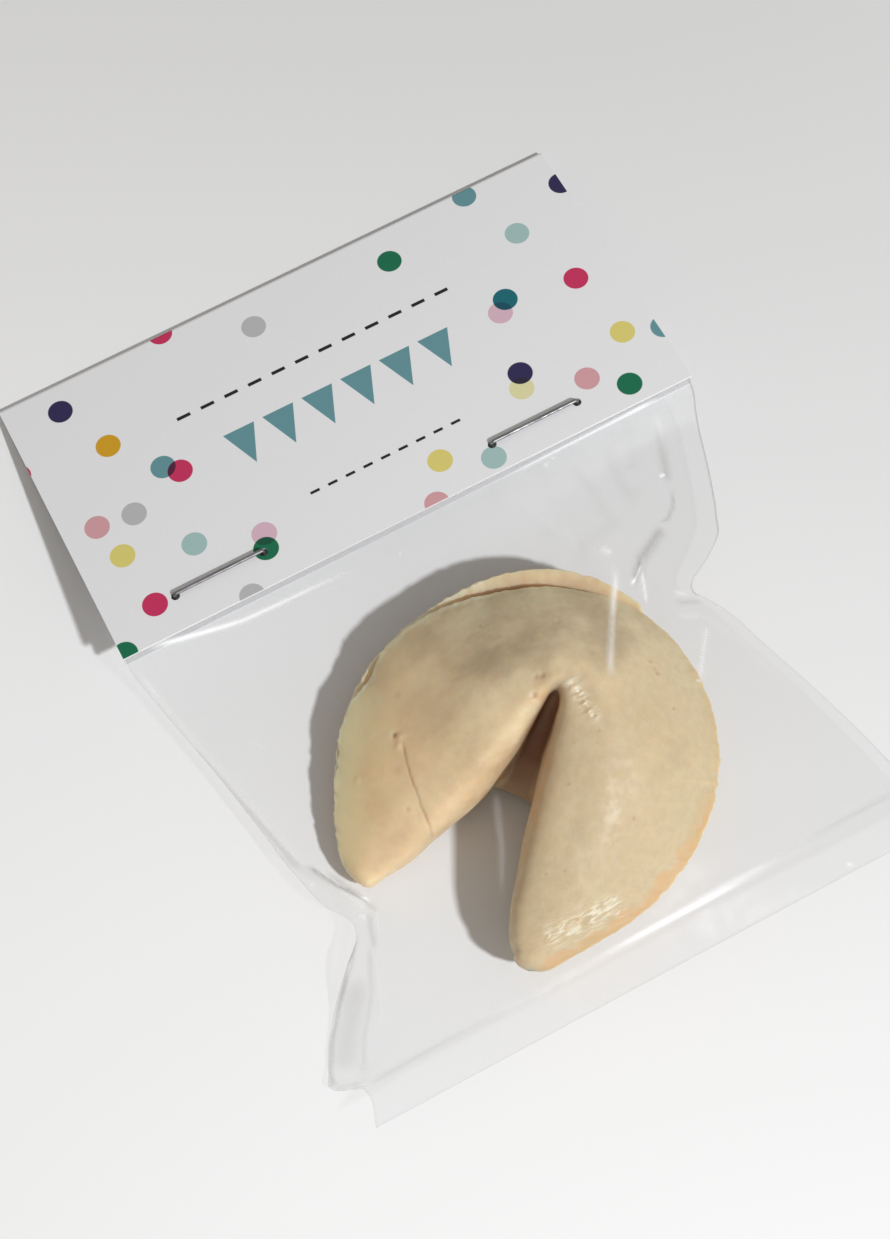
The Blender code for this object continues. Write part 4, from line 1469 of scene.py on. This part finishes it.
    def sheet(self, bm: bmesh.types.BMesh, x: np.ndarray, y: np.ndarray, z: np.ndarray,
              depth: float, tones: tuple[np.ndarray, np.ndarray] | None
              ) -> list[bmesh.types.BMEdge]:
        """Adds one of the two films as a grid.

        Args:
            bm: The mesh that it goes in.
            x: The free film's x in mm.
            y: Its y in mm.
            z: Its heights in mm.
            depth: How far under the card's front the film lies inside the card, in mm.
            tones: The free film's painted highlight and painted shade, or None where it is clear.

        Returns:
            The edges of the sheet's outline.
        """
        total = self.card_rows + self.rows
        white, painted_film_shade = (bm.verts.layers.float[key] for key in ("white", "painted_film_shade"))
        made = bmesh.ops.create_grid(bm, x_segments=self.columns - 1, y_segments=total - 1,
                                     size=1.0)["verts"]
        for vertex in made:
            j = round((vertex.co.x + 1.0) / 2.0 * (self.columns - 1))
            i = round((vertex.co.y + 1.0) / 2.0 * (total - 1))
            k = i - self.card_rows
            if k < 0:
                down = mix(self.mouth, self.flap, i / self.card_rows)
                wide = mix(-self.half_width, self.half_width, j / (self.columns - 1))
                vertex.co = self.in_card(wide, down, depth) * MM
            else:
                vertex.co = Vector((x[k, j], y[k, j], z[k, j])) * MM
                if tones is not None:
                    vertex[white], vertex[painted_film_shade] = float(tones[0][k, j]), float(tones[1][k, j])
            # painted shade: thin dark lines along the film's outline, stronger at the upper right
            if min(j, self.columns - 1 - j, total - 1 - i) == 0:
                crisp = k >= 0 and vertex.co.x > 0.0 and vertex.co.y > -12.5 * MM
                vertex[painted_film_shade] = max(vertex[painted_film_shade], 0.26 if crisp else 0.05)
        return [e for v in made for e in v.link_edges if len(e.link_faces) == 1]

    def build(self, surface: bpy.types.Material, cookie: bpy.types.Object) -> bpy.types.Object:
        """Models the bag as two sheets joined all round.

        Args:
            surface: The film's material.
            cookie: The finished cookie.

        Returns:
            The bag.
        """
        graph = bpy.context.evaluated_depsgraph_get()
        bag_tree = BVHTree.FromObject(frame["nodes"]["bag"], graph)
        cookie_tree = BVHTree.FromObject(cookie, graph)
        x, y, upper, lower = self.drape(bag_tree, cookie_tree)
        lifted, white, painted_film_shade = self.marks(x, y)
        floor = self.heights_on(cookie_tree, x, y, False) + self.clearance
        upper = np.fmax(np.maximum(upper + lifted, lower + self.sheet_gap), floor)
        bm = bmesh.new()
        for key in ("white", "painted_film_shade"):
            bm.verts.layers.float.new(key)
        front = self.card + self.gap + self.film / 2
        rim = self.sheet(bm, x, y, upper, front, (white, painted_film_shade))
        rim += self.sheet(bm, x, y, lower, front + self.film + self.film_gap, None)
        bmesh.ops.bridge_loops(bm, edges=list(dict.fromkeys(rim)))
        bmesh.ops.recalc_face_normals(bm, faces=bm.faces)
        return finish_piece(bm, "film_bag", surface, ["bag"])


@dataclass
class HeaderCard:
    """The folded card over the bag's mouth, whose solid keeps its shape."""

    flap: float = 40.2
    tilt: float = radians(9.95)
    fold_y: float = 52.0
    fold_height: float = 1.0

    def dress(self) -> bpy.types.Object:
        """Gives the card's node its printed finish and returns it."""
        card = frame["nodes"]["header_card"]
        top = Vector((0.0, self.fold_y, self.fold_height)) * MM
        finish = CardFinish(front_edge=top, tilt=-self.tilt, flap=self.flap)
        card.data.materials.clear()
        card.data.materials.append(finish.material())
        return card


@dataclass
class Staple:
    """A staple of flattened wire through the card, with lengths in mm.

    It is made lying in its own axes, u along the crown and w out of the card's front, from
    one folded-in end to the other, and is then laid on the card.
    """

    name: str
    tilt: float
    radius: float = 0.26
    flatness: float = 0.8
    bend: float = 0.36
    clinch: float = 4.6
    sides: int = 14
    steps: int = 6

    def run(self, bm: bmesh.types.BMesh, ring: list[bmesh.types.BMEdge],
            way: Vector) -> list[bmesh.types.BMEdge]:
        """Draws the wire straight on by a vector and returns its new end."""
        out = bmesh.ops.extrude_edge_only(bm, edges=ring)["geom"]
        verts = [item for item in out if isinstance(item, bmesh.types.BMVert)]
        bmesh.ops.translate(bm, vec=way, verts=verts)
        return [item for item in out if isinstance(item, bmesh.types.BMEdge)
                and len(item.link_faces) == 1]

    def turn(self, bm: bmesh.types.BMesh, ring: list[bmesh.types.BMEdge], centre: Vector,
             angle: float) -> list[bmesh.types.BMEdge]:
        """Bends the wire about a line square to the crown and returns its new end."""
        out = bmesh.ops.spin(bm, geom=ring, cent=centre, axis=(0.0, 1.0, 0.0), angle=angle,
                             steps=self.steps, use_duplicate=False)["geom_last"]
        return [item for item in out if isinstance(item, bmesh.types.BMEdge)]

    def build(self, surface: bpy.types.Material) -> bpy.types.Object:
        """Models the staple in its node's place.

        Args:
            surface: The wire's material.

        Returns:
            The staple.
        """
        low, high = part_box(self.name)
        centre = (low + high) / 2
        turned = Matrix.Rotation(self.tilt, 4, "X")
        half = (high.x - low.x) / 2 - self.radius * MM
        thick = ((high.z - low.z) - abs(sin(self.tilt)) * 2 * self.radius * MM)
        deep = thick / cos(self.tilt) - 2 * self.radius * MM
        bend = self.bend * MM
        bm = bmesh.new()
        made = bmesh.ops.create_circle(bm, cap_ends=True, segments=self.sides,
                                       radius=self.radius * MM)["verts"]
        bmesh.ops.rotate(bm, verts=made, cent=(0, 0, 0), matrix=Matrix.Rotation(pi / 2, 3, "Y"))
        bmesh.ops.scale(bm, verts=made, vec=(1.0, 1.0, self.flatness))
        start = Vector((half - self.clinch * MM, 0.0, -deep / 2))
        bmesh.ops.translate(bm, verts=made, vec=start)
        ring = list(dict.fromkeys(e for v in made for e in v.link_edges))
        end, leg, crown = self.clinch * MM - bend, deep - 2 * bend, 2 * half - 2 * bend
        for way, corner in (((end, 0.0), (1, -1)), ((0.0, leg), (1, 1)), ((-crown, 0.0), (-1, 1)),
                            ((0.0, -leg), (-1, -1))):
            ring = self.run(bm, ring, Vector((way[0], 0.0, way[1])))
            ring = self.turn(bm, ring, Vector((corner[0] * (half - bend), 0.0,
                                               corner[1] * (deep / 2 - bend))), -pi / 2)
        ring = self.run(bm, ring, Vector((end, 0.0, 0.0)))
        bmesh.ops.holes_fill(bm, edges=ring, sides=self.sides)
        bmesh.ops.remove_doubles(bm, verts=bm.verts, dist=0.001 * MM)
        bmesh.ops.recalc_face_normals(bm, faces=bm.faces)
        bmesh.ops.transform(bm, matrix=Matrix.Translation(centre) @ turned, verts=bm.verts)
        piece = finish_piece(bm, self.name + "_wire", surface, [self.name])
        piece.data.set_sharp_from_angle(angle=radians(40))
        return piece


@dataclass
class Studio:
    """The floor, the lights and the camera."""

    floor_half: float = 1.6
    camera_place: tuple[float, float, float] = (-0.0393, -0.0707, 0.2763)
    camera_right: tuple[float, float, float] = (0.885, -0.467, 0.0)
    camera_down: tuple[float, float, float] = (-0.448, -0.850, -0.280)
    lens: float = 66.0
    key_way: tuple[float, float, float] = (0.286, -0.594, 0.752)
    key_distance: float = 0.65
    key_size: float = 0.045
    key_power: float = 3.45
    key_tone: Colour = (0.975, 0.995, 1.02)
    fill: float = 0.38
    fill_tone: Colour = (1.0, 0.96, 0.91)

    def lay_floor(self) -> bpy.types.Object:
        """Makes the floor under the pack."""
        bm = bmesh.new()
        bmesh.ops.create_grid(bm, x_segments=1, y_segments=1, size=self.floor_half)
        mesh = bpy.data.meshes.new("floor")
        bm.to_mesh(mesh)
        bm.free()
        mesh.materials.append(FloorFinish().material())
        floor = bpy.data.objects.new("floor", mesh)
        bpy.context.scene.collection.objects.link(floor)
        return floor

    def light(self) -> None:
        """Sets a key light on one side, with a bright even surround."""
        scene = bpy.context.scene
        lamp = bpy.data.lights.new("key", "AREA")
        lamp.shape = "DISK"
        lamp.size = self.key_size
        lamp.energy = self.key_power
        lamp.color = self.key_tone
        key = bpy.data.objects.new("key", lamp)
        key.location = Vector(self.key_way) * self.key_distance
        key.rotation_mode = "QUATERNION"
        key.rotation_quaternion = (-Vector(self.key_way)).to_track_quat("-Z", "Y")
        scene.collection.objects.link(key)
        world = bpy.data.worlds.new("surround")
        world.use_nodes = True
        background = world.node_tree.nodes["Background"]
        background.inputs["Color"].default_value = (*self.fill_tone, 1.0)
        background.inputs["Strength"].default_value = self.fill
        scene.world = world
        scene.view_settings.view_transform = "Standard"

    def place_camera(self) -> None:
        """Places the camera above the pack."""
        right = Vector(self.camera_right).normalized()
        down = Vector(self.camera_down)
        down = (down - right * down.dot(right)).normalized()
        back = right.cross(-down)
        turn = Matrix((right, -down, back)).transposed()
        lens = bpy.data.cameras.new("camera")
        lens.sensor_fit = "VERTICAL"
        lens.sensor_height = 36.0
        lens.lens = self.lens
        lens.clip_start = 0.01
        camera = bpy.data.objects.new("camera", lens)
        camera.matrix_world = Matrix.Translation(self.camera_place) @ turn.to_4x4()
        bpy.context.scene.collection.objects.link(camera)
        bpy.context.scene.camera = camera


def main() -> None:
    """Builds every piece round the frame."""
    logging.basicConfig(level=logging.INFO, format="%(name)s: %(message)s")
    studio = Studio()
    studio.place_camera()
    studio.light()
    studio.lay_floor()
    cookie = Cookie().build(CrustFinish().material())
    LOG.info("cookie: %d faces", len(cookie.data.polygons))
    header = HeaderCard()
    card = header.dress()
    LOG.info("card: %s", card.name)
    bag = FilmBag(header.fold_y, header.fold_height, header.tilt)
    film = bag.build(FilmFinish().material(), cookie)
    LOG.info("film: %d faces", len(film.data.polygons))
    wire = WireFinish().material()
    for name in ("staple_left", "staple_right"):
        staple = Staple(name, -header.tilt).build(wire)
        LOG.info("staple: %s", staple.name)


if __name__ == "__main__":
    main()
